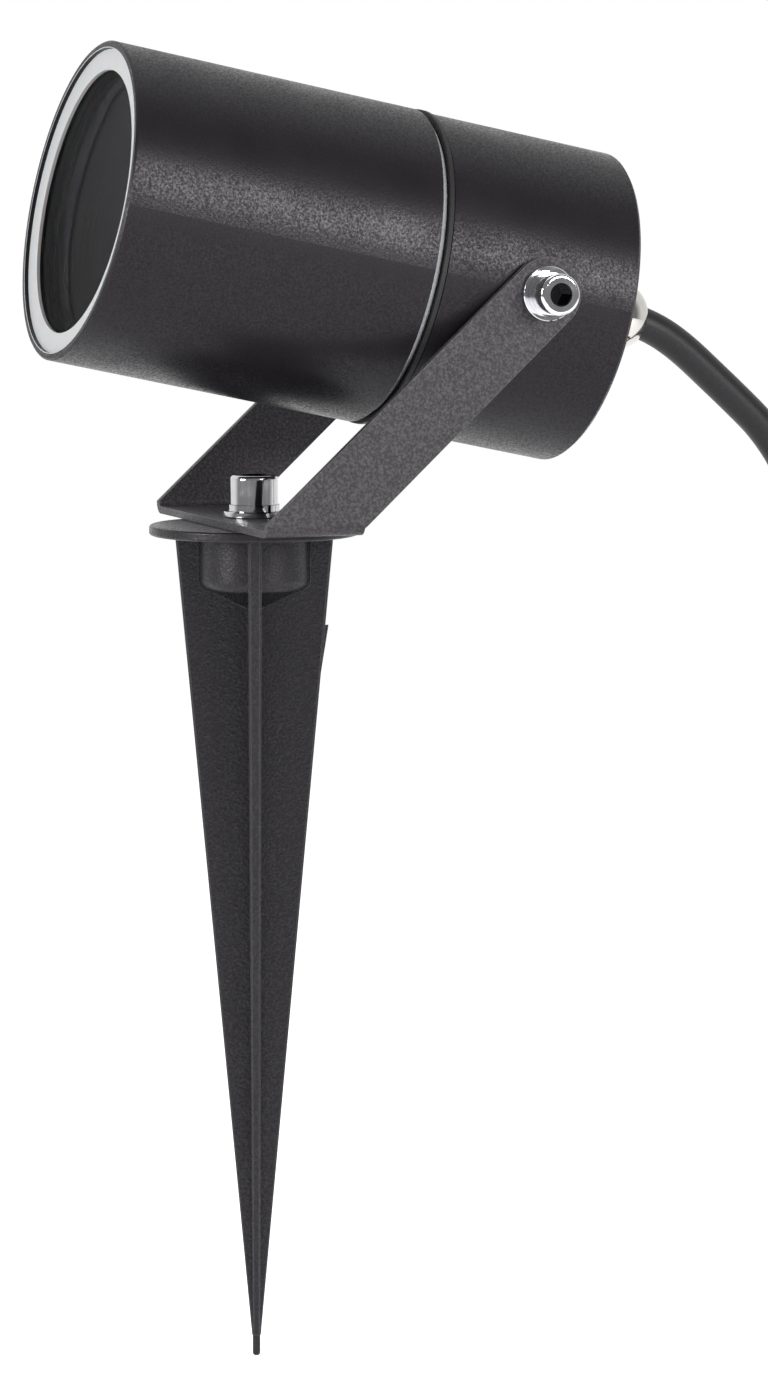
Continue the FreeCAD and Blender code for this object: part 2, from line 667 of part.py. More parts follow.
def make_cap_screw(label, kind):
    """Socket-head screw of a kind, base or pivot: seat at Z = 0, head above, thread below."""
    body = new_body(label)
    shank, length = "Size.%s_shank_radius" % kind, "Size.%s_shank_length" % kind
    head, height = "Size.%s_head_radius" % kind, "Size.%s_head_height" % kind
    revolve(body, (
        ("0", height),
        ("0", "-%s" % length),
        ("%s - Size.thread_edge" % shank, "-%s" % length),
        (shank, "Size.thread_edge - %s" % length),
        (shank, "0"),
        (head, "0"),
        (head, "%s - Size.cap_edge" % height),
        ("%s - Size.cap_edge" % head, height, "Size.cap_edge", -1),
    ))
    socket = sketch_on(body, "XY_Plane", out=height)
    hexagon(socket, "Size.%s_key" % kind)
    pocket(body, socket, "Size.%s_key_depth" % kind)
    return body


def make_flat_washer(label, kind):
    """Flat washer for a kind of screw, with its seat at Z = 0."""
    body = new_body(label)
    bore = "Size.%s_shank_radius + Size.washer_gap" % kind
    rim, top = "Size.%s_washer_radius" % kind, "Size.%s_washer_thickness" % kind
    revolve(body, (
        (bore, "0"),
        ("%s - Size.washer_edge" % rim, "0"),
        (rim, "Size.washer_edge"),
        (rim, "%s - Size.washer_edge" % top),
        ("%s - Size.washer_edge" % rim, top),
        (bore, top),
    ))
    return body


def make_spring_washer(label, kind):
    """Split spring washer for a kind of screw, with its seat at Z = 0."""
    body = new_body(label)
    bore = "Size.%s_shank_radius + Size.washer_gap" % kind
    rim, top = "Size.%s_spring_radius" % kind, "Size.%s_spring_thickness" % kind
    ring = revolve(body, ((bore, "0"), (rim, "0"), (rim, top), (bore, top)))
    bind(ring, Angle="360 - Size.spring_slot")
    return body


def make_base_hardware():
    """Screw, spring washer and flat washer that hold the bracket on the spike."""
    washer = make_flat_washer("base_flat_washer", "base")
    spring = make_spring_washer("base_spring_washer", "base")
    screw = make_cap_screw("base_screw", "base")
    for body, seat in ((washer, BASE_WASHER_SEAT), (spring, BASE_SPRING_SEAT), (screw, BASE_SCREW_SEAT)):
        bind(body, Placement__Base__z=seat)
    bind(spring, Placement__Rotation__Angle="Size.spring_turn")
    return [washer, spring, screw]


def make_pivot_hardware():
    """Screws, washers and spacers on the tilt axis, in mirrored pairs, each seated on the last."""
    spacer = new_body("pivot_spacer")
    bore = "Size.pivot_shank_radius + Size.washer_gap"
    inner, outer = "0", "%s - (%s)" % (SPACER_END, SPACER_SEAT)
    rim = "Size.spacer_radius"
    revolve(spacer, ((bore, inner), (rim, inner), (rim, outer), (bore, outer)))
    washer_seat = ARM_SPAN + " + Size.seat_gap"
    spring_seat = washer_seat + " + Size.pivot_washer_thickness + Size.seat_gap"
    screw_seat = spring_seat + " + Size.pivot_spring_thickness + Size.seat_gap"
    return [
        pivot_pair("pivot_spacers", spacer, SPACER_SEAT),
        pivot_pair("pivot_flat_washers", make_flat_washer("pivot_flat_washer", "pivot"), washer_seat),
        pivot_pair("pivot_spring_washers", make_spring_washer("pivot_spring_washer", "pivot"), spring_seat),
        pivot_pair("pivot_screws", make_cap_screw("pivot_screw", "pivot"), screw_seat),
    ]


def make_small_screw(label, below="Size.small_length"):
    """Slotted pan-head screw with its seat at Z = 0, for the parts inside the barrel."""
    body = new_body(label)
    revolve(body, (
        ("0", "Size.small_head_height"),
        ("0", "-(%s)" % below),
        ("Size.small_shank", "-(%s)" % below),
        ("Size.small_shank", "0"),
        ("Size.small_head", "0"),
        ("Size.small_head", "Size.small_head_height - Size.small_edge"),
        ("Size.small_head - Size.small_edge", "Size.small_head_height"),
    ))
    slot = sketch_on(body, "XY_Plane", out="Size.small_head_height")
    box_outline(slot, "-Size.small_head", "Size.small_head", "-Size.drive_width", "Size.drive_width")
    pocket(body, slot, "Size.drive_depth")
    return body


# ---------------------------------------------------------------- bracket

def draw_arm_side(sketch):
    """Draw the bracket's side view: plate edges, and two edges tangent to the arm's round end."""
    low = value(PLATE_UNDER)
    front = Vector(-value("Size.plate_front"), low + value("Size.arm_front_rise"), 0)
    rear = Vector(value("Size.plate_rear"), low + value("Size.arm_rear_rise"), 0)
    centre = Vector(value("Size.pivot_back"), value("Size.pivot_height"), 0)
    radius = value("Size.arm_end_radius")
    upper = tangent_point(front, centre, radius, 1)
    lower = tangent_point(rear, centre, radius, -1)
    crown = centre + (centre - (front + rear) / 2).normalize() * radius
    ground = value("Size.flange_thickness")
    corners = [Vector(front.x, ground, 0), front, upper, lower, rear, Vector(rear.x, ground, 0)]
    for start, end in zip(corners, corners[1:]):
        if start is upper:
            end_arc = sketch.addGeometry(Part.Arc(upper, crown, lower), False)
        else:
            sketch.addGeometry(Part.LineSegment(start, end), False)
    closing = sketch.addGeometry(Part.LineSegment(corners[-1], corners[0]), False)
    up_front, slope_front, slope_rear, down_rear = 0, 1, end_arc + 1, end_arc + 2
    arc_ends = (1, 2) if sketch.getPoint(end_arc, 1).distanceToPoint(upper) < TOUCH else (2, 1)
    joins = ((up_front, 2, slope_front, 1), (slope_rear, 2, down_rear, 1), (down_rear, 2, closing, 1),
             (closing, 2, up_front, 1))
    for first, first_end, second, second_end in joins:
        sketch.addConstraint(Sketcher.Constraint("Coincident", first, first_end, second, second_end))
    sketch.addConstraint(Sketcher.Constraint("Tangent", slope_front, 2, end_arc, arc_ends[0]))
    sketch.addConstraint(Sketcher.Constraint("Tangent", slope_rear, 1, end_arc, arc_ends[1]))
    fix_point(sketch, end_arc, 3, "Size.pivot_back", "Size.pivot_height")
    set_radius(sketch, end_arc, "Size.arm_end_radius")
    fix_point(sketch, up_front, 1, "-Size.plate_front", "Size.flange_thickness")
    fix_point(sketch, up_front, 2, "-Size.plate_front", PLATE_UNDER + " + Size.arm_front_rise")
    fix_point(sketch, down_rear, 1, "Size.plate_rear", PLATE_UNDER + " + Size.arm_rear_rise")
    fix_point(sketch, down_rear, 2, "Size.plate_rear", "Size.flange_thickness")


def tangent_point(outside, centre, radius, side):
    """Return where a line from an outside point touches a circle, on its left (1) or right (-1)."""
    away = centre - outside
    slant = math.asin(radius / away.Length) * side
    length = math.sqrt(away.Length ** 2 - radius ** 2)
    heading = math.atan2(away.y, away.x) + slant
    return outside + Vector(math.cos(heading), math.sin(heading), 0) * length


def make_bracket():
    """Bracket: one steel strip folded into a U, cut to its side view, with three holes."""
    body = new_body("bracket")
    arm_top = "Size.pivot_height + 2 * Size.arm_end_radius"
    inner, outer = "(%s - Size.sheet)" % ARM_SPAN, ARM_SPAN
    bend, bend_out = "Size.bend_radius", "(Size.bend_radius + Size.sheet)"
    profile = sketch_on(body, "XZ_Plane")
    outline(profile, (
        ("-" + outer, arm_top),
        ("-" + outer, "%s + %s" % (PLATE_UNDER, bend_out)),
        ("%s - %s" % (bend_out, outer), PLATE_UNDER, bend_out, -1),
        ("%s - %s" % (outer, bend_out), PLATE_UNDER),
        (outer, "%s + %s" % (PLATE_UNDER, bend_out), bend_out, -1),
        (outer, arm_top),
        (inner, arm_top),
        (inner, "%s + %s" % (PLATE_TOP, bend)),
        ("%s - %s" % (inner, bend), PLATE_TOP, bend, 1),
        ("%s - %s" % (bend, inner), PLATE_TOP),
        ("-" + inner, "%s + %s" % (PLATE_TOP, bend), bend, 1),
        ("-" + inner, arm_top),
    ))
    pad(body, profile, "2 * Size.pivot_back + 4 * Size.arm_end_radius", symmetric=True)
    waste = sketch_on(body, "YZ_Plane")
    draw_arm_side(waste)
    far = "2 * Size.pivot_back + 2 * Size.arm_end_radius"
    box_outline(waste, "-(%s)" % far, far, "-(%s)" % far, far)
    pocket(body, waste)
    base_hole = sketch_on(body, "XY_Plane")
    circle(base_hole, "Size.base_shank_radius + Size.hole_gap")
    pocket(body, base_hole)
    pivot_holes = sketch_on(body, "YZ_Plane")
    circle(pivot_holes, "Size.pivot_shank_radius + Size.hole_gap", "Size.pivot_back", "Size.pivot_height")
    pocket(body, pivot_holes)
    return body


# ---------------------------------------------------------------- barrels, seal, gasket and glass

WALL_INSIDE = "Size.rear_wall - Size.rear_reach"
HAT_FOOT = "(%s - Size.hat_clearance)" % REAR_BORE
FOOT_HOLE = "(%s - Size.foot_end)" % HAT_FOOT
HAT_LEG = "(%s - Size.foot_end)" % FOOT_HOLE
FRONT_START = "Size.seam_reach + Size.seal_thickness + 2 * Size.seat_gap"
FRONT_END = FRONT_START + " + Size.front_length"
GLASS_SEAT = FRONT_END + " - Size.glass_seat_depth"
GASKET_OUTER = "(%s - Size.running_gap)" % GASKET_BORE
GASKET_INNER = GASKET_OUTER + " - Size.gasket_width"
GLASS_POCKET = GASKET_OUTER + " - Size.gasket_wall"
GASKET_REAR = GLASS_SEAT + " + Size.seat_gap"
GLASS_REAR = GASKET_REAR + " + Size.gasket_lip + Size.seat_gap"
GLASS_FRONT = GLASS_REAR + " + Size.glass_thickness"


def tapped_hole(body, across, out):
    """Cut a blind hole for a small screw into the inside of the end wall."""
    drill = "Size.small_shank + Size.running_gap"
    bottom = "%s - Size.small_drill" % WALL_INSIDE
    top = "%s + Size.seat_gap" % WALL_INSIDE
    groove(body, (("0", top), ("0", bottom), (drill, bottom), (drill, top)), across, out)


def make_rear_barrel():
    """Rear barrel: turned cup with an end wall, pivot holes, spot faces and a threaded spigot."""
    body = new_body("rear_barrel")
    spigot_end = "Size.seam_reach + Size.spigot_length"
    revolve(body, (
        ("Size.cable_hole", "-Size.rear_reach"),
        (REAR_RADIUS + " - Size.rear_edge", "-Size.rear_reach"),
        (REAR_RADIUS, "Size.rear_edge - Size.rear_reach"),
        (REAR_RADIUS, "Size.seam_reach - Size.seam_edge"),
        (REAR_RADIUS + " - Size.seam_edge", "Size.seam_reach"),
        (SPIGOT_RADIUS, "Size.seam_reach"),
        (SPIGOT_RADIUS, "%s - Size.spigot_edge" % spigot_end),
        (SPIGOT_RADIUS + " - Size.spigot_edge", spigot_end),
        (REAR_BORE, spigot_end),
        (REAR_BORE, WALL_INSIDE),
        ("Size.cable_hole", WALL_INSIDE),
    ))
    pivot_holes = sketch_on(body, "YZ_Plane")
    circle(pivot_holes, "Size.pivot_shank_radius + Size.running_gap")
    pocket(body, pivot_holes)
    spot_face = sketch_on(body, "YZ_Plane", out=REAR_RADIUS + " + Size.seat_gap")
    circle(spot_face, "Size.spacer_radius + Size.spot_face_margin")
    seat = pocket(body, spot_face, "Size.spot_face_depth + Size.seat_gap")
    mirror(body, seat, "YZ_Plane")
    for across, out in ((FOOT_HOLE, "0"), ("-" + FOOT_HOLE, "0"), ("0", "Size.earth_place")):
        tapped_hole(body, across, out)
    return on_head(body)


def make_joint_seal():
    """Black rubber ring squeezed between the two barrels, slightly proud of their skins."""
    body = new_body("joint_seal")
    rear = "Size.seam_reach + Size.seat_gap"
    front = rear + " + Size.seal_thickness"
    inner, outer = SPIGOT_RADIUS + " + Size.seal_fit", REAR_RADIUS + " + Size.seal_proud"
    revolve(body, ((inner, rear), (outer, rear), (outer, front), (inner, front)))
    return on_head(body)


def make_front_barrel():
    """Front barrel: threaded onto the spigot, with a ledge and counterbore for the glass."""
    body = new_body("front_barrel")
    thread_end = FRONT_START + " + Size.thread_length"
    ledge = GLASS_SEAT + " - Size.ledge_thickness"
    ledge_bore = GASKET_BORE + " - Size.ledge_width"
    bore = "Size.front_radius - Size.front_wall"
    revolve(body, (
        (THREAD_BORE, FRONT_START),
        ("Size.front_radius - Size.joint_bevel", FRONT_START),
        ("Size.front_radius", FRONT_START + " + Size.joint_bevel"),
        ("Size.front_radius", FRONT_END + " - Size.rim_bevel"),
        ("Size.front_radius - Size.rim_bevel", FRONT_END),
        (GASKET_BORE, FRONT_END),
        (GASKET_BORE, GLASS_SEAT),
        (ledge_bore, GLASS_SEAT),
        (ledge_bore, ledge),
        (bore, ledge),
        (bore, thread_end),
        (THREAD_BORE, thread_end),
    ))
    return on_head(body)


def make_glass_gasket():
    """Pale silicone ring with a U section round the glass; its front lip slopes inwards."""
    body = new_body("glass_gasket")
    channel_rear = GASKET_REAR + " + Size.gasket_lip"
    channel_front = GLASS_FRONT + " + Size.seat_gap"
    front = channel_front + " + Size.gasket_lip"
    revolve(body, (
        (GASKET_OUTER, GASKET_REAR),
        (GASKET_OUTER, front),
        (GASKET_INNER, front + " - Size.gasket_slope"),
        (GASKET_INNER, channel_front),
        (GLASS_POCKET, channel_front),
        (GLASS_POCKET, channel_rear),
        (GASKET_INNER, channel_rear),
        (GASKET_INNER, GASKET_REAR),
    ))
    return on_head(body)


def make_front_glass():
    """Flat round front glass, held in the gasket's channel."""
    body = new_body("front_glass")
    rim = GLASS_POCKET + " - Size.running_gap"
    revolve(body, (("0", GLASS_REAR), (rim, GLASS_REAR), (rim, GLASS_FRONT), ("0", GLASS_FRONT)))
    return on_head(body)


# ---------------------------------------------------------------- lampholder and wiring

HAT_SEAT = WALL_INSIDE + " + Size.seat_gap"
BLOCK_FAR = "(%s - Size.block_margin)" % REAR_BORE
TAG_LEVEL = HAT_SEAT + " + Size.tag_barrel + Size.tag_lift"
HOLDER_SEAT = "Size.hat_top + Size.seat_gap"
HOLDER_FACE = HOLDER_SEAT + " + Size.holder_height"
WELL_FLOOR = HOLDER_FACE + " - Size.screw_well_depth"
HOLDER_SCREW_SEAT = WELL_FLOOR + " + Size.seat_gap"


def make_lampholder_bracket():
    """Hat-shaped strip that carries the lampholder on the end wall."""
    body = new_body("lampholder_bracket")
    profile = sketch_on(body, "XZ_Plane")
    leg_in = "(%s - Size.hat_thickness)" % HAT_LEG
    foot_top = HAT_SEAT + " + Size.hat_thickness"
    under = "Size.hat_top - Size.hat_thickness"
    right = ((leg_in, under), (leg_in, HAT_SEAT), (HAT_FOOT, HAT_SEAT), (HAT_FOOT, foot_top),
             (HAT_LEG, foot_top), (HAT_LEG, "Size.hat_top"))
    left = [("-" + across, up) for across, up in reversed(right)]
    outline(profile, list(right) + left)
    pad(body, profile, "Size.hat_width", symmetric=True)
    width, leg, thickness = value("Size.hat_width"), value(HAT_LEG), value("Size.hat_thickness")

    def at_bend(edge, reach):
        middle = edge.CenterOfMass
        is_long = abs(edge.Length - width) < TOUCH
        return is_long and abs(abs(middle.x) - reach) < TOUCH

    top, foot = value("Size.hat_top"), value(HAT_SEAT)

    def is_inside(edge):
        height = edge.CenterOfMass.z
        under_plate = at_bend(edge, leg - thickness) and abs(height - (top - thickness)) < TOUCH
        on_foot = at_bend(edge, leg) and abs(height - (foot + thickness)) < TOUCH
        return under_plate or on_foot

    def is_outside(edge):
        height = edge.CenterOfMass.z
        over_plate = at_bend(edge, leg) and abs(height - top) < TOUCH
        under_foot = at_bend(edge, leg - thickness) and abs(height - foot) < TOUCH
        return over_plate or under_foot

    round_edges(body, "Size.hat_bend", is_inside)
    round_edges(body, "Size.hat_bend + Size.hat_thickness", is_outside)
    holes = sketch_on(body, "XY_Plane")
    for place in (FOOT_HOLE, "-" + FOOT_HOLE, "Size.holder_screw", "-Size.holder_screw"):
        circle(holes, "Size.small_shank + Size.small_hole_gap", place)
    pocket(body, holes)
    return on_head(body)


def make_lampholder():
    """Ceramic lampholder: two pin holes with the slots that the pins turn into, and screw wells."""
    body = new_body("lampholder")
    edge = "Size.holder_edge"
    revolve(body, (
        ("0", HOLDER_FACE),
        ("0", HOLDER_SEAT),
        ("Size.holder_radius", HOLDER_SEAT),
        ("Size.holder_radius", "%s - %s" % (HOLDER_FACE, edge)),
        ("Size.holder_radius - %s" % edge, HOLDER_FACE),
    ))
    pin = sketch_on(body, "XY_Plane", out=HOLDER_FACE)
    circle(pin, "Size.pin_hole", "0", "Size.pin_pitch / 2")
    holes = pocket(body, pin, "Size.pin_depth")
    repeat_round(body, holes, 2)
    slot = sketch_on(body, "XY_Plane", out=HOLDER_FACE)
    draw_pin_slot(slot)
    slots = pocket(body, slot, "Size.pin_depth")
    repeat_round(body, slots, 2)
    for across in ("Size.holder_screw", "-Size.holder_screw"):
        groove(body, (
            ("0", HOLDER_FACE),
            ("0", HOLDER_SEAT),
            ("Size.small_shank + Size.small_hole_gap", HOLDER_SEAT),
            ("Size.small_shank + Size.small_hole_gap", WELL_FLOOR),
            ("Size.screw_well", WELL_FLOOR),
            ("Size.screw_well", HOLDER_FACE),
        ), across)
    return on_head(body)


def draw_pin_slot(sketch):
    """Draw the curved slot from a pin hole to where the turned pin stops."""
    inner, outer = "(Size.pin_pitch / 2 - Size.pin_neck)", "(Size.pin_pitch / 2 + Size.pin_neck)"
    start, end = "90", "(90 + Size.pin_turn)"
    outline(sketch, (
        ("%s * cos(%s)" % (outer, start), "%s * sin(%s)" % (outer, start)),
        ("%s * cos(%s)" % (outer, end), "%s * sin(%s)" % (outer, end), outer, -1),
        ("%s * cos(%s)" % (inner, end), "%s * sin(%s)" % (inner, end), "Size.pin_neck", -1),
        ("%s * cos(%s)" % (inner, start), "%s * sin(%s)" % (inner, start), inner, 1),
    ))


def make_inner_screws():
    """Screws of the lampholder's feet, the lampholder itself and the earth tag."""
    foot_seat = HAT_SEAT + " + Size.hat_thickness + Size.seat_gap"
    earth_seat = HAT_SEAT + " + Size.tag_thickness + Size.seat_gap"
    foot = make_small_screw("foot_screw", "Size.small_length + Size.hat_thickness")
    holder_below = HOLDER_SCREW_SEAT + " - Size.hat_top + 2 * Size.hat_thickness"
    holder = make_small_screw("holder_screw", holder_below)
    earth = make_small_screw("earth_screw", "Size.small_length + Size.tag_thickness")
    head_shift(foot, FOOT_HOLE, "0", foot_seat)
    head_shift(holder, "Size.holder_screw", "0", HOLDER_SCREW_SEAT)
    head_shift(earth, "0", "-Size.earth_place", earth_seat)
    return [mirrored_pair("bracket_screws", foot), mirrored_pair("lampholder_screws", holder), earth]


def head_shift(body, across, up, ahead):
    """Place a body in the head's frame at (across, up, ahead), at the rest tilt."""
    body.Placement = head_placement()
    tilt = "Size.rest_tilt"
    back = "Size.pivot_back + (%s) * sin(%s) - (%s) * cos(%s)" % (up, tilt, ahead, tilt)
    height = "Size.pivot_height + (%s) * cos(%s) + (%s) * sin(%s)" % (up, tilt, ahead, tilt)
    bind(body, Placement__Base__x=across, Placement__Base__y=back, Placement__Base__z=height,
         Placement__Rotation__Angle="90 - " + tilt)


def make_terminal_block():
    """Two-pole terminal block on the end wall, with four screw holes."""
    body = new_body("terminal_block")
    base = sketch_on(body, "XY_Plane", out=HAT_SEAT)
    box_outline(base, "-Size.block_half", "Size.block_half", "Size.block_near", BLOCK_FAR)
    pad(body, base, "Size.block_height")
    holes = sketch_on(body, "XY_Plane", out=HAT_SEAT + " + Size.block_height")
    for pole in ("Size.pole", "-Size.pole"):
        for near_parts, far_parts in ((3, 1), (1, 3)):
            place = "(%d * Size.block_near + %d * %s) / 4" % (near_parts, far_parts, BLOCK_FAR)
            circle(holes, "Size.pole_screw", pole, place)
    pocket(body, holes, "Size.pole_screw_depth")
    return on_head(body)


def make_wiring():
    """Cores from the cable to the block and the earth tag, and leads from the block to the lampholder."""
    pole = value("Size.pole")
    gap = value("Size.seat_gap")
    sheath_end = value(WALL_INSIDE + " + Size.cable_inside") + gap
    level = value(WALL_INSIDE + " + Size.wire_level")
    on_circle = value("Size.core_circle")
    side, lift = on_circle * math.cos(math.radians(30)), on_circle * math.sin(math.radians(30))
    spread = lift + value("Size.core_fan")
    block = value("Size.block_near") - gap
    made = []
    for label, sign in (("live_core", 1), ("neutral_core", -1)):
        made.append(core_on_head(label, [[(sign * side, lift, sheath_end), (sign * side, lift, level),
                                          (sign * pole, spread, level), (sign * pole, block, level)]]))
    turn_level = sheath_end + value("Size.earth_rise")
    turn = -value("Size.earth_turn")
    tag_end = gap - value("Size.tag_barrel_end")
    tag_lead = tag_end + value("Size.earth_lead")
    tag_level = value(TAG_LEVEL)
    made.append(core_on_head("earth_core", [[(0, -on_circle, sheath_end), (0, -on_circle, turn_level),
                                             (0, turn, turn_level), (0, tag_lead, tag_level),
                                             (0, tag_end, tag_level)]]))
    block = value(BLOCK_FAR) + gap
    bow = block + value("Size.lead_bow")
    high = level + value("Size.lead_rise")
    beside = value("Size.hat_width / 2 + Size.lead_clearance")
    end = value(HOLDER_SEAT) - gap
    last = end - value("Size.lead_end")
    made.append(core_on_head("lamp_leads", [[(x, block, level), (x, bow, level), (x, bow, high),
                                             (x, beside, last), (x, beside, end)] for x in (pole, -pole)]))
    return made


def core_on_head(label, routes):
    """Sweep insulated cores along routes of points in the head's frame, as one sub-part."""
    radius = value("Size.core_radius")
    cores = []
    for route in routes:
        wire = bent_wire([Vector(*point) for point in route], label)
        cores.append(tube(wire, radius, label))
    shape = cores[0] if len(cores) == 1 else Part.makeCompound(cores)
    return feature_of(label, shape, head_placement())


def make_earth_tag():
    """Crimped ring tag under the earth screw."""
    body = new_body("earth_tag")
    ring = sketch_on(body, "XY_Plane", out=HAT_SEAT)
    place = "-Size.earth_place"
    circle(ring, "Size.tag_radius", "0", place)
    circle(ring, "Size.small_shank + Size.small_hole_gap", "0", place)
    pad(body, ring, "Size.tag_thickness")
    barrel = sketch_on(body, "XZ_Plane", out="Size.tag_barrel_end")
    circle(barrel, "Size.tag_barrel", "0", TAG_LEVEL)
    length = "Size.earth_place - Size.small_head - Size.running_gap - Size.tag_barrel_end"
    pad(body, barrel, length)
    return on_head(body)


# ---------------------------------------------------------------- gland and cable

def behind(distance):
    """Return the expression for a distance behind the rear face, in the head's frame."""
    return "-Size.rear_reach - (%s)" % distance


def make_gland_body():
    """Gland body: hexagon flange, thread through the end wall and outer thread with a seal seat."""
    body = new_body("gland_body")
    flange = sketch_on(body, "XY_Plane", out=behind("Size.gland_flange"))
    hexagon(flange, "Size.gland_flats")
    pad(body, flange, "Size.gland_flange - Size.seat_gap")
    thread = "Size.cable_hole - Size.running_gap"
    inside = WALL_INSIDE + " + Size.gland_inside"
    revolve(body, (
        ("Size.gland_bore", inside),
        (thread, inside),
        (thread, behind("Size.gland_flange")),
        ("Size.gland_tube", behind("Size.gland_flange")),
        ("Size.gland_tube", behind("Size.gland_tube_end")),
        ("Size.gland_bore", behind("Size.gland_tube_end")),
    ))
    groove(body, (
        ("0", inside),
        ("Size.gland_bore", inside),
        ("Size.gland_bore", behind("Size.gland_seat")),
        ("Size.gland_seat_radius", behind("Size.gland_seat")),
        ("Size.gland_seat_radius", behind("Size.gland_tube_end + Size.seat_gap")),
        ("0", behind("Size.gland_tube_end + Size.seat_gap")),
    ))
    return on_head(body)


def make_gland_seal():
    """Rubber sleeve that the dome nut squeezes onto the cable."""
    body = new_body("gland_seal")
    inner, outer = "Size.cable_radius + Size.running_gap", "Size.gland_seat_radius - Size.running_gap"
    front, rear = behind("Size.gland_seat + Size.seat_gap"), behind("Size.gland_tube_end")
    revolve(body, ((inner, front), (outer, front), (outer, rear), (inner, rear)))
    return on_head(body)


def make_gland_cap():
    """Bright dome nut with a flared mouth, through which the cable leaves."""
    body = new_body("gland_cap")
    bore = "Size.gland_tube + Size.running_gap"
    reach = "sqrt(Size.cap_radius ^ 2 - Size.cap_mouth ^ 2)"
    tube_end = behind("Size.gland_tube_end + Size.seat_gap")
    throat = behind("(Size.gland_tube_end + Size.cap_dome + %s) / 2" % reach)
    mouth = behind("Size.cap_dome + %s" % reach)
    revolve(body, (
        (bore, behind("Size.cap_start")),
        ("Size.cap_radius", behind("Size.cap_start")),
        ("Size.cap_radius", behind("Size.cap_dome")),
        ("Size.cap_mouth", mouth, "Size.cap_radius", 1),
        ("Size.cap_throat", throat),
        (bore, tube_end),
    ))
    return on_head(body)


def make_cable_entry():
    """Sheathed cable inside the gland, up to where the cores part."""
    body = new_body("cable_entry")
    front = WALL_INSIDE + " + Size.cable_inside"
    rear = behind("Size.gland_tube_end")
    revolve(body, (("0", rear), ("Size.cable_radius", rear), ("Size.cable_radius", front), ("0", front)))
    return on_head(body)


def cable_route():
    """Return the free cable's route points, the first two worked out on the gland's axis."""
    place = head_placement()
    split = value(behind("Size.gland_tube_end + Size.seat_gap"))
    on_axis = [place.multVec(Vector(0, 0, split)), place.multVec(Vector(0, 0, split - FIRST_RUN))]
    return on_axis + [Vector(*point) for point in FREE_ROUTE]


def make_supply_cable():
    """Free stretch of the cable, from the gland down behind the lamp to the coil."""
    radius = value("Size.cable_radius")
    wire = bent_wire(cable_route(), "supply_cable")
    return feature_of("supply_cable", tube(wire, radius, "supply_cable"))


def whole_turns():
    """Return the coil's turns: two layers, the climb, and on to where the cable's end runs forwards."""
    return 2 * value("Size.coil_turns") + 0.5 + value("Size.coil_swing") / 360


def coil_state(turns):
    """Return place and heading of the coil after a number of turns, in the coil's own frame.

    The bottom layer spirals in, half a turn climbs to the top layer, which spirals out again.
    """
    pitch, rise, layer = value("Size.coil_pitch"), value("Size.coil_rise"), value("Size.coil_turns")
    inmost = value("Size.coil_radius") - pitch * layer
    climb = min(max(turns - layer, 0), 0.5)
    if turns < layer:
        radius, inward = inmost + pitch * (layer - turns), -pitch
    elif turns <= layer + 0.5:
        radius, inward = inmost - pitch * climb * (1 - 2 * climb), pitch * (4 * climb - 1)
    else:
        radius, inward = inmost + pitch * (turns - layer - 0.5), pitch
    height = rise * (2 * climb) ** 2 * (3 - 4 * climb)
    lift = rise * 24 * climb * (1 - 2 * climb)
    if turns in (0, whole_turns()):
        inward = 0
    angle = 2 * math.pi * turns
    outward = Vector(-math.cos(angle), math.sin(angle), 0)
    forward = Vector(math.sin(angle), math.cos(angle), 0)
    place = outward * radius + Vector(0, 0, height)
    heading = outward * inward + forward * (2 * math.pi * radius) + Vector(0, 0, lift)
    return place, heading.normalize()


def tangent_arc(start, corner, end):
    """Return the arc from start to end that is tangent to the lines from both to corner."""
    chord = (end - start).Length / 2
    middle = (start + end) / 2
    outward = corner - middle
    turn = math.atan2(outward.Length, chord)
    return Part.Arc(start, middle + outward.normalize() * chord * math.tan(turn / 2), end).toShape()


def biarc(start, start_heading, end, end_heading):
    """Return two arcs that join smoothly and leave and arrive at the given headings."""
    chord = end - start
    total = start_heading + end_heading
    slack = 2 * (1 - start_heading.dot(end_heading))
    reach = (math.sqrt(chord.dot(total) ** 2 + slack * chord.dot(chord)) - chord.dot(total)) / slack
    first = start + start_heading * reach
    second = end - end_heading * reach
    joint = (first + second) / 2
    return [tangent_arc(start, first, joint), tangent_arc(joint, second, end)]


def coil_placement():
    """Return the coil's placement: its frame's +Y is the cable's heading into it."""
    swing = FreeCAD.Rotation(Vector(0, 0, 1), value("Size.coil_swing"))
    lead = Vector(value("Size.coil_radius"), 2 * value("Size.cable_radius"), 0)
    return FreeCAD.Placement(cable_route()[-1] + swing.multVec(lead), swing)


def make_cable_coil():
    """Spare cable, coiled on the ground in two layers as one unbroken tube."""
    radius = value("Size.cable_radius")
    steps = [step / 4 for step in range(int(4 * whole_turns()) + 1)] + [whole_turns()]
    states = [coil_state(turns) for turns in steps]
    gap = value("Size.seat_gap")
    first, last = states[0][0], states[-1][0]
    lead = states[0][1] * (2 * radius - gap)
    edges = [Part.LineSegment(first - lead, first).toShape()]
    for (start, heading), (end, end_heading) in zip(states, states[1:]):
        edges += biarc(start, heading, end, end_heading)
    edges.append(Part.LineSegment(last, last + states[-1][1] * 2 * radius).toShape())
    wire = Part.Wire(edges)
    print("cable_coil: least gap between turns %.2f mm" % least_gap(edges, radius))
    return feature_of("cable_coil", tube(wire, radius, "cable_coil"), coil_placement())


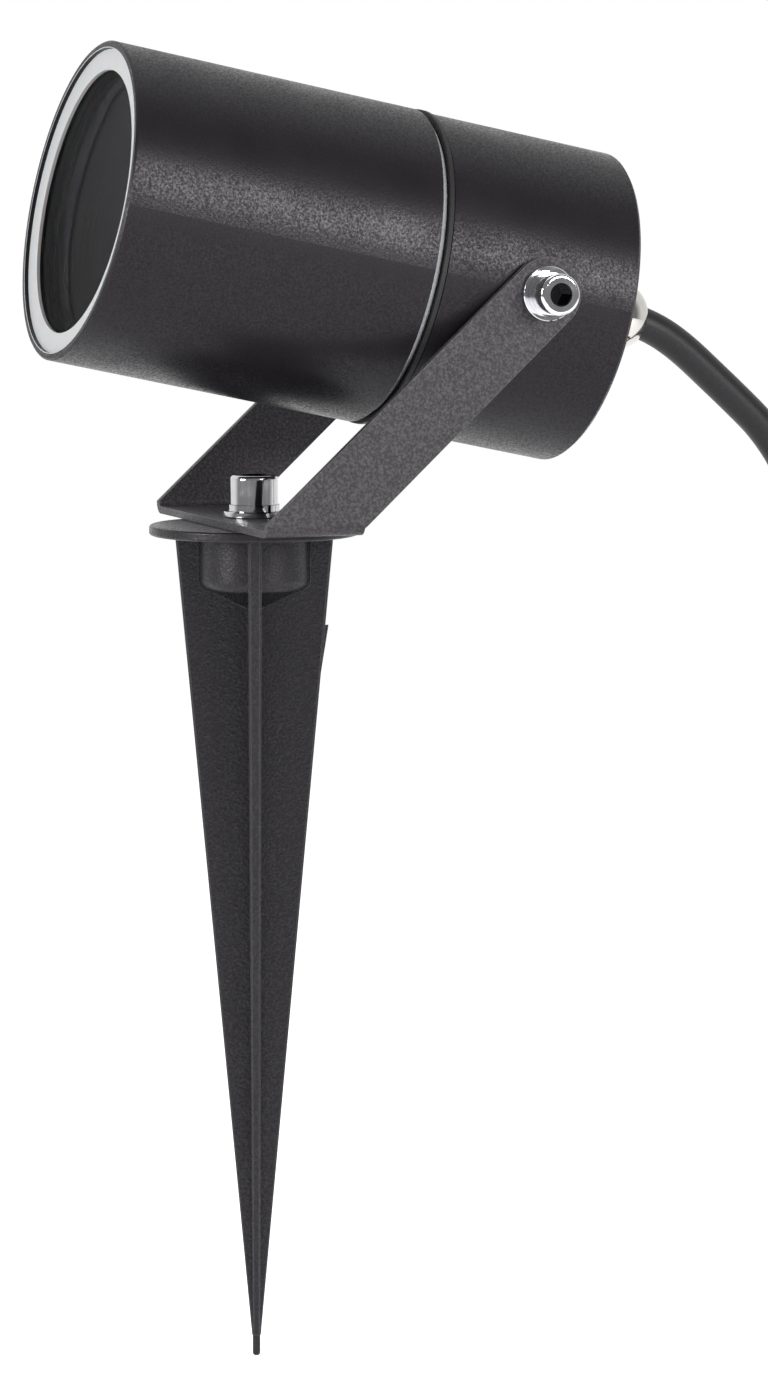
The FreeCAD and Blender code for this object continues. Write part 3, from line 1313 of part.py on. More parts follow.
def least_gap(edges, radius):
    """Measure on points how close a tube comes to itself, leaving out near neighbours along it."""
    spots = []
    travelled = 0.0
    for edge in edges:
        count = max(1, int(edge.Length / GAP_STEP))
        for step, place in enumerate(edge.discretize(Number=count + 1)[:-1]):
            spots.append((travelled + edge.Length * step / count, place))
        travelled += edge.Length
    least = math.inf
    for index, (along, place) in enumerate(spots):
        for further, other in spots[index + 1:]:
            if further - along > GAP_SPAN * radius:
                least = min(least, place.distanceToPoint(other))
    return least - 2 * radius


def make_coil_tie():
    """Band round the coil's turns, on the side towards the lamp."""
    body = new_body("coil_tie")
    bundle = value("Size.coil_radius - 0.75 * Size.coil_pitch")
    near = "Size.coil_pitch * (Size.coil_turns - 1) + 2 * Size.cable_radius + 2 * Size.tie_side_gap"
    tall = "Size.coil_rise + 2 * Size.cable_radius + 2 * Size.tie_gap"
    band = "Size.tie_thickness"
    corner = "(Size.cable_radius + Size.tie_gap)"
    profile = sketch_on(body, "YZ_Plane")
    for grow in ("0", band):
        wide_half = "((%s) / 2 + %s)" % (near, grow)
        tall_half = "((%s) / 2 + %s)" % (tall, grow)
        bend = "(%s + %s)" % (corner, grow)
        rounded_box(profile, wide_half, tall_half, bend)
    pad(body, profile, "Size.tie_width", symmetric=True)
    middle = bundle - value("Size.coil_pitch * (Size.coil_turns - 1)") / 2
    at_turns = FreeCAD.Placement(Vector(0, -middle, value("Size.coil_rise") / 2), FreeCAD.Rotation())
    body.Placement = coil_placement().multiply(at_turns)
    return body


def rounded_box(sketch, wide_half, tall_half, bend):
    """Draw a rectangle about the origin with round corners."""
    corners = []
    for across, up, turned in (("", "-", 0), ("", "", 1), ("-", "", 0), ("-", "-", 1)):
        beside = (across + wide_half, "%s(%s - %s)" % (up, tall_half, bend))
        above = ("%s(%s - %s)" % (across, wide_half, bend), up + tall_half)
        start, end = (beside, above) if turned else (above, beside)
        corners.append(start)
        corners.append(end + (bend, -1))
    outline(sketch, corners)


def make_cable_end():
    """End of the cable beyond the coil: sheath, and three cores with wire-end ferrules."""
    place, heading = coil_state(whole_turns())
    start = place + heading * value("2 * Size.cable_radius + Size.seat_gap")
    sheath = new_body("cable_tail")
    box = (("0", "0"), ("Size.cable_radius", "0"), ("Size.cable_radius", "Size.tail_length"),
           ("0", "Size.tail_length"))
    revolve(sheath, box)
    cores = new_body("tail_cores")
    begin = "Size.tail_length + Size.seat_gap"
    collar = begin + " + Size.tail_core_length"
    pin = collar + " + Size.ferrule_collar"
    end = pin + " + Size.ferrule_length"
    core = revolve(cores, (
        ("0", begin),
        ("Size.core_radius", begin),
        ("Size.core_radius", collar),
        ("Size.ferrule_radius", collar),
        ("Size.ferrule_radius", pin),
        ("Size.ferrule_pin", pin),
        ("Size.ferrule_pin", end),
        ("0", end),
    ), across="Size.core_circle")
    repeat_round(cores, core, 3)
    for body in (sheath, cores):
        at_end = FreeCAD.Placement(start, FreeCAD.Rotation(Vector(0, 0, 1), heading))
        body.Placement = coil_placement().multiply(at_end)
    return group("cable_end", [sheath, cores])


# ---------------------------------------------------------------- build, check and write

def build():
    """Build every sub-part and return the objects to write."""
    parts = [make_ground_spike(), make_spike_insert()]
    parts += make_base_hardware()
    parts += [make_bracket()]
    parts += make_pivot_hardware()
    parts += [make_rear_barrel(), make_joint_seal(), make_front_barrel(), make_glass_gasket()]
    parts += [make_front_glass(), make_lampholder_bracket(), make_lampholder()]
    parts += make_inner_screws()
    parts += [make_terminal_block(), make_earth_tag()]
    parts += make_wiring()
    parts += [make_gland_body(), make_gland_seal(), make_gland_cap(), make_cable_entry()]
    parts += [make_supply_cable(), make_cable_coil(), make_coil_tie(), make_cable_end()]
    doc.recompute()
    return parts


def check(parts):
    """Stop if any object failed to recompute, or if a sub-part's shape is empty or faulty."""
    for item in doc.Objects:
        if "Invalid" in item.State or "Error" in item.State:
            raise RuntimeError("%s failed: %s" % (item.Name, item.State))
    for part in parts:
        if part.Shape.isNull() or not part.Shape.isValid():
            raise RuntimeError("the shape of %s is empty or faulty" % part.Label)


def write(parts):
    """Write one STEP file for each sub-part."""
    os.makedirs("parts", exist_ok=True)
    for part in parts:
        part.Shape.exportStep(os.path.join("parts", part.Label + ".step"))
        box = part.Shape.BoundBox
        print("%-22s solids %d  volume %9.1f  z %7.2f to %7.2f" % (
            part.Label, len(part.Shape.Solids), part.Shape.Volume, box.ZMin, box.ZMax))


make_sheet()
subparts = build()
check(subparts)
write(subparts)
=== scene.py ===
"""Garden spike spotlight: finishes, cable, studio floor, lights and camera.

Lengths are in metres in the part's own frame: the origin is the centre of the spike's flange underside,
+Z is up and the light shines towards -Y. The head's own frame has its Z axis along the barrel, out of the
front, with the tilt axis at its origin. A size whose name ends in _mm is in millimetres.
"""

import logging
import math
from dataclasses import dataclass
from enum import Enum

import bmesh
import bpy
from mathutils import Matrix, Vector


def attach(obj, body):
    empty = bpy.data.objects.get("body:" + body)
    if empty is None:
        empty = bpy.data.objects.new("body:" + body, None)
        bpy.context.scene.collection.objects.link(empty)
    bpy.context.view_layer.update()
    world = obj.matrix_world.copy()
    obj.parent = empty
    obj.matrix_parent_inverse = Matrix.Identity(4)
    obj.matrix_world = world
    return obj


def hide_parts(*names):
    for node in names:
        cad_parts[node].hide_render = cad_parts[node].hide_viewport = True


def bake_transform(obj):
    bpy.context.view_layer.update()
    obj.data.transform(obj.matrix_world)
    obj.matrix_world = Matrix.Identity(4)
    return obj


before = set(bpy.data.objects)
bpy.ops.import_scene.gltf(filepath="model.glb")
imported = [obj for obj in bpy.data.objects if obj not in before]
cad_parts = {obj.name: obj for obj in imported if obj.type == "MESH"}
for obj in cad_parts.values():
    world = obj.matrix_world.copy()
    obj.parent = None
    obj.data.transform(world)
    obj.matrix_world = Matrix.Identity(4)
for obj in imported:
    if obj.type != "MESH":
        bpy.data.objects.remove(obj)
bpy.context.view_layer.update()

LOG = logging.getLogger("spotlight")

Tree = bpy.types.NodeTree
Socket = bpy.types.NodeSocket
Colour = tuple[float, float, float, float]
Point = tuple[float, float, float]
Profile = tuple[tuple[float, float], ...]

MM = 0.001
REST_TILT = math.radians(12)
TILT_AXIS = Vector((0, 0.05, 0.0495))
HEAD = Matrix.Translation(TILT_AXIS) @ Matrix.Rotation(math.pi / 2 - REST_TILT, 4, "X")
FLOOR_LEVEL = -0.17066  # the spike's tip

WHITE = (1.0, 1.0, 1.0, 1.0)
VIOLET_BLACK = (1.0, 0.95, 1.0, 1.0)
# A noise texture keeps mostly between the first two values; the others pick out its tops and its specks.
NOISE_LOW, NOISE_HIGH = 0.3, 0.7
TOPS_FROM, TOPS_FULL = 0.42, 0.72
SPECKS_FROM, SPECKS_FULL = 0.35, 0.65
# The bands of a wave texture at scale 1 lie this many metres apart.
BAND_GAP = 0.314
# Cosines between a face and its rounded edge, where the painted edge highlight starts and where it is full.
EDGE_FROM, EDGE_FULL = 0.985, 0.8


class Body(str, Enum):
    """The moving bodies that the cable follows."""

    BRACKET = "bracket"
    HEAD = "head"


# ---------------------------------------------------------------- nodes and colours


def linear(colour: str) -> Colour:
    """Turn an sRGB hex colour into linear values.

    Args:
        colour: Six hex digits after a hash sign.

    Returns:
        Red, green, blue and an alpha of 1.
    """
    shares = [int(colour[place : place + 2], 16) / 255 for place in (1, 3, 5)]
    red, green, blue = [
        share / 12.92 if share <= 0.04045 else ((share + 0.055) / 1.055) ** 2.4 for share in shares]
    return red, green, blue, 1.0


def add_node(tree: Tree, kind: str, inputs: dict | None = None, **settings: object) -> bpy.types.Node:
    """Add a node with its settings and inputs.

    Args:
        tree: Shader or geometry tree that takes the node.
        kind: The node's Blender class name.
        inputs: Values, hex colours or output sockets, by the input's name or place.
        **settings: Properties of the node.

    Returns:
        The new node.
    """
    node = tree.nodes.new(kind)
    for name, setting in settings.items():
        setattr(node, name, setting)
    for place, content in (inputs or {}).items():
        if isinstance(content, Socket):
            tree.links.new(content, node.inputs[place])
        else:
            node.inputs[place].default_value = linear(content) if isinstance(content, str) else content
    return node


def new_material(name: str) -> tuple[bpy.types.Material, Tree]:
    """Start an empty node material.

    Args:
        name: The material's name.

    Returns:
        The material and its emptied node tree.
    """
    material = bpy.data.materials.new(name)
    material.use_nodes = True
    material.node_tree.nodes.clear()
    return material, material.node_tree


def finish_surface(tree: Tree, inputs: dict) -> None:
    """Add the surface shader and the output of a material.

    Args:
        tree: The material's tree.
        inputs: Inputs of the shader.
    """
    shader = add_node(tree, "ShaderNodeBsdfPrincipled", inputs)
    add_node(tree, "ShaderNodeOutputMaterial", {"Surface": shader.outputs[0]})


def in_head_frame(tree: Tree, place: Socket) -> Socket:
    """Turn the part's coordinates into the head's own, with Z along the barrel."""
    return add_node(tree, "ShaderNodeMapping", {
        "Vector": place, "Location": TILT_AXIS, "Rotation": (math.pi / 2 - REST_TILT, 0, 0),
    }, vector_type="TEXTURE").outputs[0]


def painted_edge_highlights(tree: Tree, colour: Socket, reach_mm: float, painted_highlight: str) -> Socket:
    """Paint a highlight along the piece's edges, lightening the colour where a rounded edge would catch the
    light.

    Args:
        tree: The material's tree.
        colour: The colour away from the edges.
        reach_mm: How far the painted highlight reaches from an edge.
        painted_highlight: Hex colour of the painted edge highlight.

    Returns:
        The colour's socket.
    """
    rounded = add_node(tree, "ShaderNodeBevel", {"Radius": reach_mm * MM}, samples=4)
    flat = add_node(tree, "ShaderNodeNewGeometry")
    facing = add_node(tree, "ShaderNodeVectorMath", {
        0: rounded.outputs[0], 1: flat.outputs["Normal"]}, operation="DOT_PRODUCT")
    edge = add_node(tree, "ShaderNodeMapRange", {
        "Value": facing.outputs["Value"], "From Min": EDGE_FROM, "From Max": EDGE_FULL,
        "To Min": 0.0, "To Max": 1.0})
    return add_node(tree, "ShaderNodeMix", {
        0: edge.outputs[0], 6: colour, 7: painted_highlight}, data_type="RGBA").outputs[2]


# ---------------------------------------------------------------- kinds of finish


@dataclass(frozen=True)
class GrainFinish:
    """A matt or satin surface with a fine grain: moulded plastic, powder coat, paint or rubber.

    The grain lightens at its tops, where handling rubs it, and a slow mottle shifts its gloss.
    """

    name: str
    colour: str
    top_colour: str
    grain_mm: float
    depth_mm: float
    roughness: float
    specular: float = 0.5
    mottle_mm: float = 14.0
    gloss_spread: float = 0.05
    speckle: float = 0.0
    # Painted highlight along the edges: how far it reaches, and its colour.
    edge_highlight_mm: float = 0.0
    edge_highlight_colour: str = "#5a595c"
    tint: Colour = WHITE

    def material(self) -> bpy.types.Material:
        """Build the material.

        Returns:
            The new material.
        """
        material, tree = new_material(self.name)
        place = add_node(tree, "ShaderNodeTexCoord").outputs["Object"]
        colour, height, rough = self.pattern(tree, place)
        bump = add_node(tree, "ShaderNodeBump", {
            "Strength": 1.0, "Distance": self.depth_mm * MM, "Height": height})
        finish_surface(tree, {
            "Base Color": colour,
            "Roughness": rough,
            "Specular IOR Level": self.specular,
            "Specular Tint": self.tint,
            "Normal": bump.outputs[0],
        })
        return material

    def pattern(self, tree: Tree, place: Socket) -> tuple[Socket, Socket, Socket]:
        """Add the grain's nodes.

        Args:
            tree: The material's tree.
            place: Coordinates in metres.

        Returns:
            Sockets of colour, height and roughness.
        """
        grain = add_node(tree, "ShaderNodeTexNoise", {
            "Vector": place, "Scale": 1 / (self.grain_mm * MM), "Detail": 3.0, "Roughness": 0.6})
        mottle = add_node(tree, "ShaderNodeTexNoise", {
            "Vector": place, "Scale": 1 / (self.mottle_mm * MM), "Detail": 2.0})
        tops = add_node(tree, "ShaderNodeMapRange", {
            "Value": grain.outputs["Fac"], "From Min": TOPS_FROM, "From Max": TOPS_FULL,
            "To Min": 0.0, "To Max": 1.0})
        colour = add_node(tree, "ShaderNodeMix", {
            0: tops.outputs[0], 6: self.colour, 7: self.top_colour}, data_type="RGBA").outputs[2]
        if self.edge_highlight_mm:
            # Painted highlight along the edges.
            colour = painted_edge_highlights(tree, colour, self.edge_highlight_mm, self.edge_highlight_colour)
        gloss = add_node(tree, "ShaderNodeMapRange", {
            "Value": mottle.outputs["Fac"], "From Min": NOISE_LOW, "From Max": NOISE_HIGH,
            "To Min": self.roughness - self.gloss_spread, "To Max": self.roughness + self.gloss_spread})
        # The grain's tops are smoother than its hollows, so they sparkle where a light is mirrored.
        specks = add_node(tree, "ShaderNodeMapRange", {
            "Value": grain.outputs["Fac"], "From Min": SPECKS_FROM, "From Max": SPECKS_FULL,
            "To Min": self.speckle, "To Max": -self.speckle})
        rough = add_node(tree, "ShaderNodeMath", {
            0: gloss.outputs[0], 1: specks.outputs[0]}, operation="ADD")
        return colour, grain.outputs["Fac"], rough.outputs[0]


@dataclass(frozen=True)
class TapeFinish(GrainFinish):
    """Woven tape: cords across the band, crossed by finer ones, in the coil's own directions."""

    cord_mm: float = 0.9
    pick_mm: float = 0.54
    weave_share: float = 0.8
    turned: float = 35.0

    def pattern(self, tree: Tree, place: Socket) -> tuple[Socket, Socket, Socket]:
        """Add the weave over the grain.

        Args:
            tree: The material's tree.
            place: Coordinates in metres.

        Returns:
            Sockets of colour, height and roughness.
        """
        colour, height, rough = super().pattern(tree, place)
        along = add_node(tree, "ShaderNodeMapping", {
            "Vector": place, "Rotation": (0, 0, math.radians(self.turned)),
        }, vector_type="TEXTURE").outputs[0]
        cords = add_node(tree, "ShaderNodeTexWave", {
            "Vector": along, "Scale": BAND_GAP / (self.cord_mm * MM)}, bands_direction="X")
        picks = add_node(tree, "ShaderNodeTexWave", {
            "Vector": along, "Scale": BAND_GAP / (self.pick_mm * MM)}, bands_direction="DIAGONAL")
        weave = add_node(tree, "ShaderNodeMath", {
            0: cords.outputs["Fac"], 1: picks.outputs["Fac"]}, operation="MULTIPLY").outputs[0]
        colour = add_node(tree, "ShaderNodeMix", {
            0: weave, 6: colour, 7: self.top_colour}, data_type="RGBA").outputs[2]
        height = add_node(tree, "ShaderNodeMix", {
            0: self.weave_share, 2: height, 3: weave}, data_type="FLOAT").outputs[0]
        return colour, height, rough


@dataclass(frozen=True)
class StripeFinish(GrainFinish):
    """Core insulation in two colours, in stripes as wide as the core is thick."""

    stripe_colour: str = "#d8c22e"
    stripe_mm: float = 2.2
    stripe_from: float = 0.6

    def pattern(self, tree: Tree, place: Socket) -> tuple[Socket, Socket, Socket]:
        """Add the stripes over the grain's colour.

        Args:
            tree: The material's tree.
            place: Coordinates in metres.

        Returns:
            Sockets of colour, height and roughness.
        """
        colour, height, rough = super().pattern(tree, place)
        bands = add_node(tree, "ShaderNodeTexWave", {
            "Vector": place, "Scale": BAND_GAP / (2 * self.stripe_mm * MM)}, bands_direction="DIAGONAL")
        stripe = add_node(tree, "ShaderNodeMath", {
            0: bands.outputs["Fac"], 1: self.stripe_from}, operation="GREATER_THAN")
        colour = add_node(tree, "ShaderNodeMix", {
            0: stripe.outputs[0], 6: colour, 7: self.stripe_colour}, data_type="RGBA").outputs[2]
        return colour, height, rough


@dataclass(frozen=True)
class BarrelFinish(GrainFinish):
    """Black coated aluminium that is bare where it was machined after coating, with a highlight painted on the
    lip's inner edge.
    """

    bare_from_mm: float = 0.0
    bare_to_mm: float = 0.0
    bore_mm: float = 0.0
    # Painted light: the bores are a lighter charcoal than the coat, standing in for the light that comes in
    # through the glass.
    bore_painted_light: str = "#4b4a4f"
    lip_mm: float = 0.0
    lip_from_mm: float = 0.0
    # Bare metal at the seam, also the painted highlight on the lip's inner edge.
    bare_and_lip_highlight_colour: str = "#c8c9cc"
    bare_and_lip_highlight_metallic: float = 0.35
    tool_mark_mm: float = 0.45

    def material(self) -> bpy.types.Material:
        """Build the material.

        Returns:
            The new material.
        """
        material, tree = new_material(self.name)
        place = add_node(tree, "ShaderNodeTexCoord").outputs["Object"]
        parts = add_node(tree, "ShaderNodeSeparateXYZ", {0: in_head_frame(tree, place)})
        along = parts.outputs[2]
        across = add_node(tree, "ShaderNodeCombineXYZ", {0: parts.outputs[0], 1: parts.outputs[1]})
        radius = add_node(tree, "ShaderNodeVectorMath", {
            0: across.outputs[0]}, operation="LENGTH").outputs["Value"]
        colour, height, rough = self.pattern(tree, place)
        turning = add_node(tree, "ShaderNodeCombineXYZ", {0: radius, 2: along})
        marks = add_node(tree, "ShaderNodeTexNoise", {
            "Vector": turning.outputs[0], "Scale": 1 / (self.tool_mark_mm * MM), "Detail": 2.0,
        }).outputs["Fac"]
        # Inside the bore, painted light: a lighter charcoal than the coat.
        inside = add_node(tree, "ShaderNodeMath", {
            0: radius, 1: self.bore_mm * MM}, operation="LESS_THAN").outputs[0]
        # Bare metal at the seam's bevel, and a painted highlight on the lip's inner edge.
        bare = self.bare_and_lip_highlight_socket(tree, along, radius)
        for share, shown in ((inside, self.bore_painted_light), (bare, self.bare_and_lip_highlight_colour)):
            colour = add_node(tree, "ShaderNodeMix", {
                0: share, 6: colour, 7: shown}, data_type="RGBA").outputs[2]
            height = add_node(tree, "ShaderNodeMix", {
                0: share, 2: height, 3: marks}, data_type="FLOAT").outputs[0]
        bump = add_node(tree, "ShaderNodeBump", {
            "Strength": 1.0, "Distance": self.depth_mm * MM, "Height": height})
        # The turned bevel's fine marks scatter light, so it shows pale from every side; the lip's inner edge
        # takes the same pale colour as a painted highlight.
        sheen = add_node(tree, "ShaderNodeMath", {0: bare, 1: self.bare_and_lip_highlight_metallic}, operation="MULTIPLY")
        finish_surface(tree, {
            "Base Color": colour,
            "Metallic": sheen.outputs[0],
            "Roughness": rough,
            "Specular IOR Level": self.specular,
            "Specular Tint": self.tint,
            "Normal": bump.outputs[0],
        })
        return material

    def bare_and_lip_highlight_socket(self, tree: Tree, along: Socket, radius: Socket) -> Socket:
        """Find the bare metal of the bevel at the seam, and the lip's inner edge, where a highlight is
        painted.

        Args:
            tree: The material's tree.
            along: Distance along the barrel.
            radius: Distance from the barrel's axis.

        Returns:
            A socket that is 1 on the bare metal and on the painted highlight.
        """
        middle, half = (self.bare_from_mm + self.bare_to_mm) / 2, (self.bare_to_mm - self.bare_from_mm) / 2
        bevel = add_node(tree, "ShaderNodeMath", {
            0: along, 1: middle * MM, 2: half * MM}, operation="COMPARE")
        inner = add_node(tree, "ShaderNodeMath", {
            0: radius, 1: self.lip_mm * MM}, operation="LESS_THAN")
        front = add_node(tree, "ShaderNodeMath", {
            0: along, 1: self.lip_from_mm * MM}, operation="GREATER_THAN")
        # The lip's inner edge: a painted highlight.
        lip = add_node(tree, "ShaderNodeMath", {
            0: inner.outputs[0], 1: front.outputs[0]}, operation="MULTIPLY")
        return add_node(tree, "ShaderNodeMath", {
            0: bevel.outputs[0], 1: lip.outputs[0]}, operation="MAXIMUM").outputs[0]


@dataclass(frozen=True)
class MetalFinish:
    """Bare or plated metal, with fine tool marks and slight smears in its gloss."""

    name: str
    colour: str
    shade: str
    roughness: float
    smear_mm: float = 4.0
    gloss_spread: float = 0.05
    least_roughness: float = 0.02
    mark_mm: float = 0.35
    mark_depth_mm: float = 0.002

    def colour_socket(self, tree: Tree, place: Socket, smear: Socket) -> Socket:
        """Return the colour: the metal's own, a little darker under smears."""
        return add_node(tree, "ShaderNodeMix", {
            0: smear, 6: self.colour, 7: self.shade}, data_type="RGBA").outputs[2]

    def material(self) -> bpy.types.Material:
        """Build the material.

        Returns:
            The new material.
        """
        material, tree = new_material(self.name)
        place = add_node(tree, "ShaderNodeTexCoord").outputs["Object"]
        smear = add_node(tree, "ShaderNodeTexNoise", {
            "Vector": place, "Scale": 1 / (self.smear_mm * MM), "Detail": 2.0}).outputs["Fac"]
        marks = add_node(tree, "ShaderNodeTexNoise", {
            "Vector": place, "Scale": 1 / (self.mark_mm * MM), "Detail": 2.0}).outputs["Fac"]
        rough = add_node(tree, "ShaderNodeMapRange", {
            "Value": smear, "From Min": NOISE_LOW, "From Max": NOISE_HIGH,
            "To Min": max(self.roughness - self.gloss_spread, self.least_roughness),
            "To Max": self.roughness + self.gloss_spread})
        bump = add_node(tree, "ShaderNodeBump", {
            "Strength": 1.0, "Distance": self.mark_depth_mm * MM, "Height": marks})
        finish_surface(tree, {
            "Base Color": self.colour_socket(tree, place, smear),
            "Metallic": 1.0,
            "Roughness": rough.outputs[0],
            "Normal": bump.outputs[0],
        })
        return material


@dataclass(frozen=True)
class ScrewFinish(MetalFinish):
    """Plated steel with shade painted dark inside the screw's hexagon socket."""

    axis: Point = (0, 0, 1)
    socket_mm: float = 2.0
    # Painted shade inside the hexagon socket.
    socket_shade_colour: str = "#3a393b"

    def colour_socket(self, tree: Tree, place: Socket, smear: Socket) -> Socket:
        """Paint shade near the screw's axis, in its socket, over the metal's own colour.

        Args:
            tree: The material's tree.
            place: Coordinates in metres.
            smear: Share of the darker shade.

        Returns:
            The colour's socket.
        """
        centre = TILT_AXIS if self.axis[0] else Vector()
        centred = add_node(tree, "ShaderNodeVectorMath", {0: place, 1: centre}, operation="SUBTRACT")
        across = add_node(tree, "ShaderNodeVectorMath", {
            0: centred.outputs[0], 1: tuple(1 - share for share in self.axis)}, operation="MULTIPLY")
        radius = add_node(tree, "ShaderNodeVectorMath", {0: across.outputs[0]}, operation="LENGTH")
        # Painted shade in the hexagon socket, within socket_mm of the axis.
        in_socket_shade = add_node(tree, "ShaderNodeMath", {
            0: radius.outputs["Value"], 1: self.socket_mm * MM}, operation="LESS_THAN")
        bright = super().colour_socket(tree, place, smear)
        return add_node(tree, "ShaderNodeMix", {
            0: in_socket_shade.outputs[0], 6: bright, 7: self.socket_shade_colour}, data_type="RGBA").outputs[2]


@dataclass(frozen=True)
class ClearFinish:
    """Clear or milky see-through stuff: glass or thin silicone."""

    name: str
    colour: str
    roughness: float
    ior: float
    transmission: float
    milk: float = 0.0
    milk_depth_mm: float = 2.0
    haze_mm: float = 6.0
    haze_gain: float = 1.3
    haze_least: float = 0.005

    def colour_socket(self, tree: Tree, place: Socket) -> Socket | str:
        """Return the colour, here the same all over."""
        return self.colour

    def material(self) -> bpy.types.Material:
        """Build the material.

        Returns:
            The new material.
        """
        material, tree = new_material(self.name)
        place = add_node(tree, "ShaderNodeTexCoord").outputs["Object"]
        haze = add_node(tree, "ShaderNodeTexNoise", {
            "Vector": place, "Scale": 1 / (self.haze_mm * MM), "Detail": 2.0})
        rough = add_node(tree, "ShaderNodeMapRange", {
            "Value": haze.outputs["Fac"], "From Min": NOISE_LOW, "From Max": NOISE_HIGH,
            "To Min": self.roughness, "To Max": self.roughness * self.haze_gain + self.haze_least})
        finish_surface(tree, {
            "Base Color": self.colour_socket(tree, place),
            "Roughness": rough.outputs[0],
            "IOR": self.ior,
            "Transmission Weight": self.transmission,
            "Subsurface Weight": self.milk,
            "Subsurface Scale": self.milk_depth_mm * MM,
        })
        return material


@dataclass(frozen=True)
class LipFinish(ClearFinish):
    """Silicone that is pale on its front lip, with shade painted dark over its channel behind the glass."""

    lip_from_mm: float = 0.0
    # Painted shade over the channel, behind lip_from_mm.
    painted_channel_shade: str = "#262628"

    def colour_socket(self, tree: Tree, place: Socket) -> Socket:
        """Make the silicone pale ahead of its channel, with painted shade behind.

        Args:
            tree: The material's tree.
            place: Coordinates in metres.

        Returns:
            The colour's socket.
        """
        along = add_node(tree, "ShaderNodeSeparateXYZ", {0: in_head_frame(tree, place)}).outputs[2]
        lip = add_node(tree, "ShaderNodeMath", {
            0: along, 1: self.lip_from_mm * MM}, operation="GREATER_THAN")
        # Painted shade behind the lip, the pale colour on the lip.
        return add_node(tree, "ShaderNodeMix", {
            0: lip.outputs[0], 6: self.painted_channel_shade, 7: self.colour}, data_type="RGBA").outputs[2]


Finish = GrainFinish | MetalFinish | ClearFinish

# ---------------------------------------------------------------- the light's own finishes

# Moulded polyamide: the tool's spark-eroded grain breaks up the light, and a highlight is painted along the
# ribs' edges.
SPIKE_NYLON = GrainFinish(
    "glass-filled nylon, moulded", "#111012", "#28272a", 0.6, 0.1, 0.34, 0.34,
    speckle=0.14, edge_highlight_mm=0.3, edge_highlight_colour="#59585b", tint=VIOLET_BLACK)
# Powder coat on folded steel: a coarse orange peel with a low sheen, and a highlight painted along its edges.
BRACKET_COAT = GrainFinish(
    "textured powder coat on steel", "#333134", "#585659", 0.55, 0.1, 0.42, 0.22,
    speckle=0.08, edge_highlight_mm=0.25, edge_highlight_colour="#6a696c", tint=VIOLET_BLACK)
# Coated turned aluminium: a flatter grain than the bracket's, and a speckled sheen on a slightly violet black.
# Its bore is painted a lighter charcoal, standing in for the light that comes in through the glass.
REAR_COAT = BarrelFinish(
    "satin coat on turned aluminium, rear", "#121013", "#272529", 0.5, 0.03, 0.38, 0.22,
    speckle=0.15, bore_mm=27.65, tint=VIOLET_BLACK)
# Its lip's inner edge carries a painted highlight in the bare metal's colour.
FRONT_COAT = BarrelFinish(
    "satin coat on turned aluminium, front", "#121013", "#272529", 0.5, 0.03, 0.38, 0.22,
    speckle=0.15, tint=VIOLET_BLACK,
    bare_from_mm=21.9, bare_to_mm=23.47, bore_mm=29.7, lip_mm=31.16, lip_from_mm=88.95)
# Polished stainless steel: mirror bright, with faint smears, and painted shade inside the sockets.
BRIGHT_STEEL = MetalFinish("stainless steel, polished", "#dcdcde", "#c4c4c8", 0.1)
BASE_SCREW_STEEL = ScrewFinish(
    "stainless steel, polished, M6", "#dcdcde", "#c4c4c8", 0.1, axis=(0, 0, 1), socket_mm=2.86)
TILT_SCREW_STEEL = ScrewFinish(
    "stainless steel, polished, M5", "#dcdcde", "#c4c4c8", 0.1, axis=(1, 0, 0), socket_mm=2.36)
# Nickel plate on turned brass: a warmer mirror.
NICKEL_PLATE = MetalFinish("nickel plate on brass", "#d4d2ce", "#bbb8b3", 0.09)
# Zinc plate: grey and cloudy.
ZINC_PLATE = MetalFinish(
    "zinc plate on pressed steel", "#b9bab6", "#a09f98", 0.34, smear_mm=2.5, gloss_spread=0.1)
# Turned brass: yellow, with a soft gloss.
TURNED_BRASS = MetalFinish("brass, turned", "#c9a95f", "#a88743", 0.28)
# Tinned copper: a soft grey shine.
TINNED_COPPER = MetalFinish("tinned copper", "#c3c1bb", "#a5a29a", 0.3)
# Rubber: dull, with a bloom of lighter specks.
SEAL_RUBBER = GrainFinish("nitrile rubber, moulded", "#141315", "#252426", 0.3, 0.02, 0.6, 0.4)
SHEATH_RUBBER = GrainFinish("rubber sheath, extruded", "#181719", "#262528", 0.35, 0.02, 0.42, 0.3)
# Silicone: pale, slightly milky, with soft highlights, and painted shade in its channel behind the glass.
GASKET_SILICONE = LipFinish("silicone, moulded", "#c4c5c6", 0.38, 1.41, 0.0, milk=0.2, lip_from_mm=87.2)
# Coated glass: nearly no reflection, so that the bore behind it stays dark.
FRONT_PANE = ClearFinish("toughened glass, anti-reflective", "#fafbfb", 0.0, 1.03, 1.0)
# Nylon and polyamide: smooth and slightly waxy.
SPACER_NYLON = GrainFinish("nylon, turned", "#19191a", "#2a2a2c", 0.5, 0.01, 0.45)
BLOCK_NYLON = GrainFinish("polyamide, natural", "#dcdad2", "#e8e6df", 0.5, 0.01, 0.5)
# Unglazed ceramic: cream and dull.
CERAMIC = GrainFinish("steatite ceramic, unglazed", "#e4ddcb", "#efeadc", 0.3, 0.02, 0.7)
# Braided glass fibre: off-white and dull, its braid drawn as a grain because it is too fine to show.
SLEEVE_FIBRE = GrainFinish("glass-fibre sleeve, braided", "#d8d4c8", "#efece3", 0.35, 0.06, 0.75)
# Woven nylon tape: matt, with pale tops on its cords.
TIE_WEAVE = TapeFinish("woven nylon tape", "#161617", "#3a3a3d", 0.3, 0.25, 0.75, 0.2)
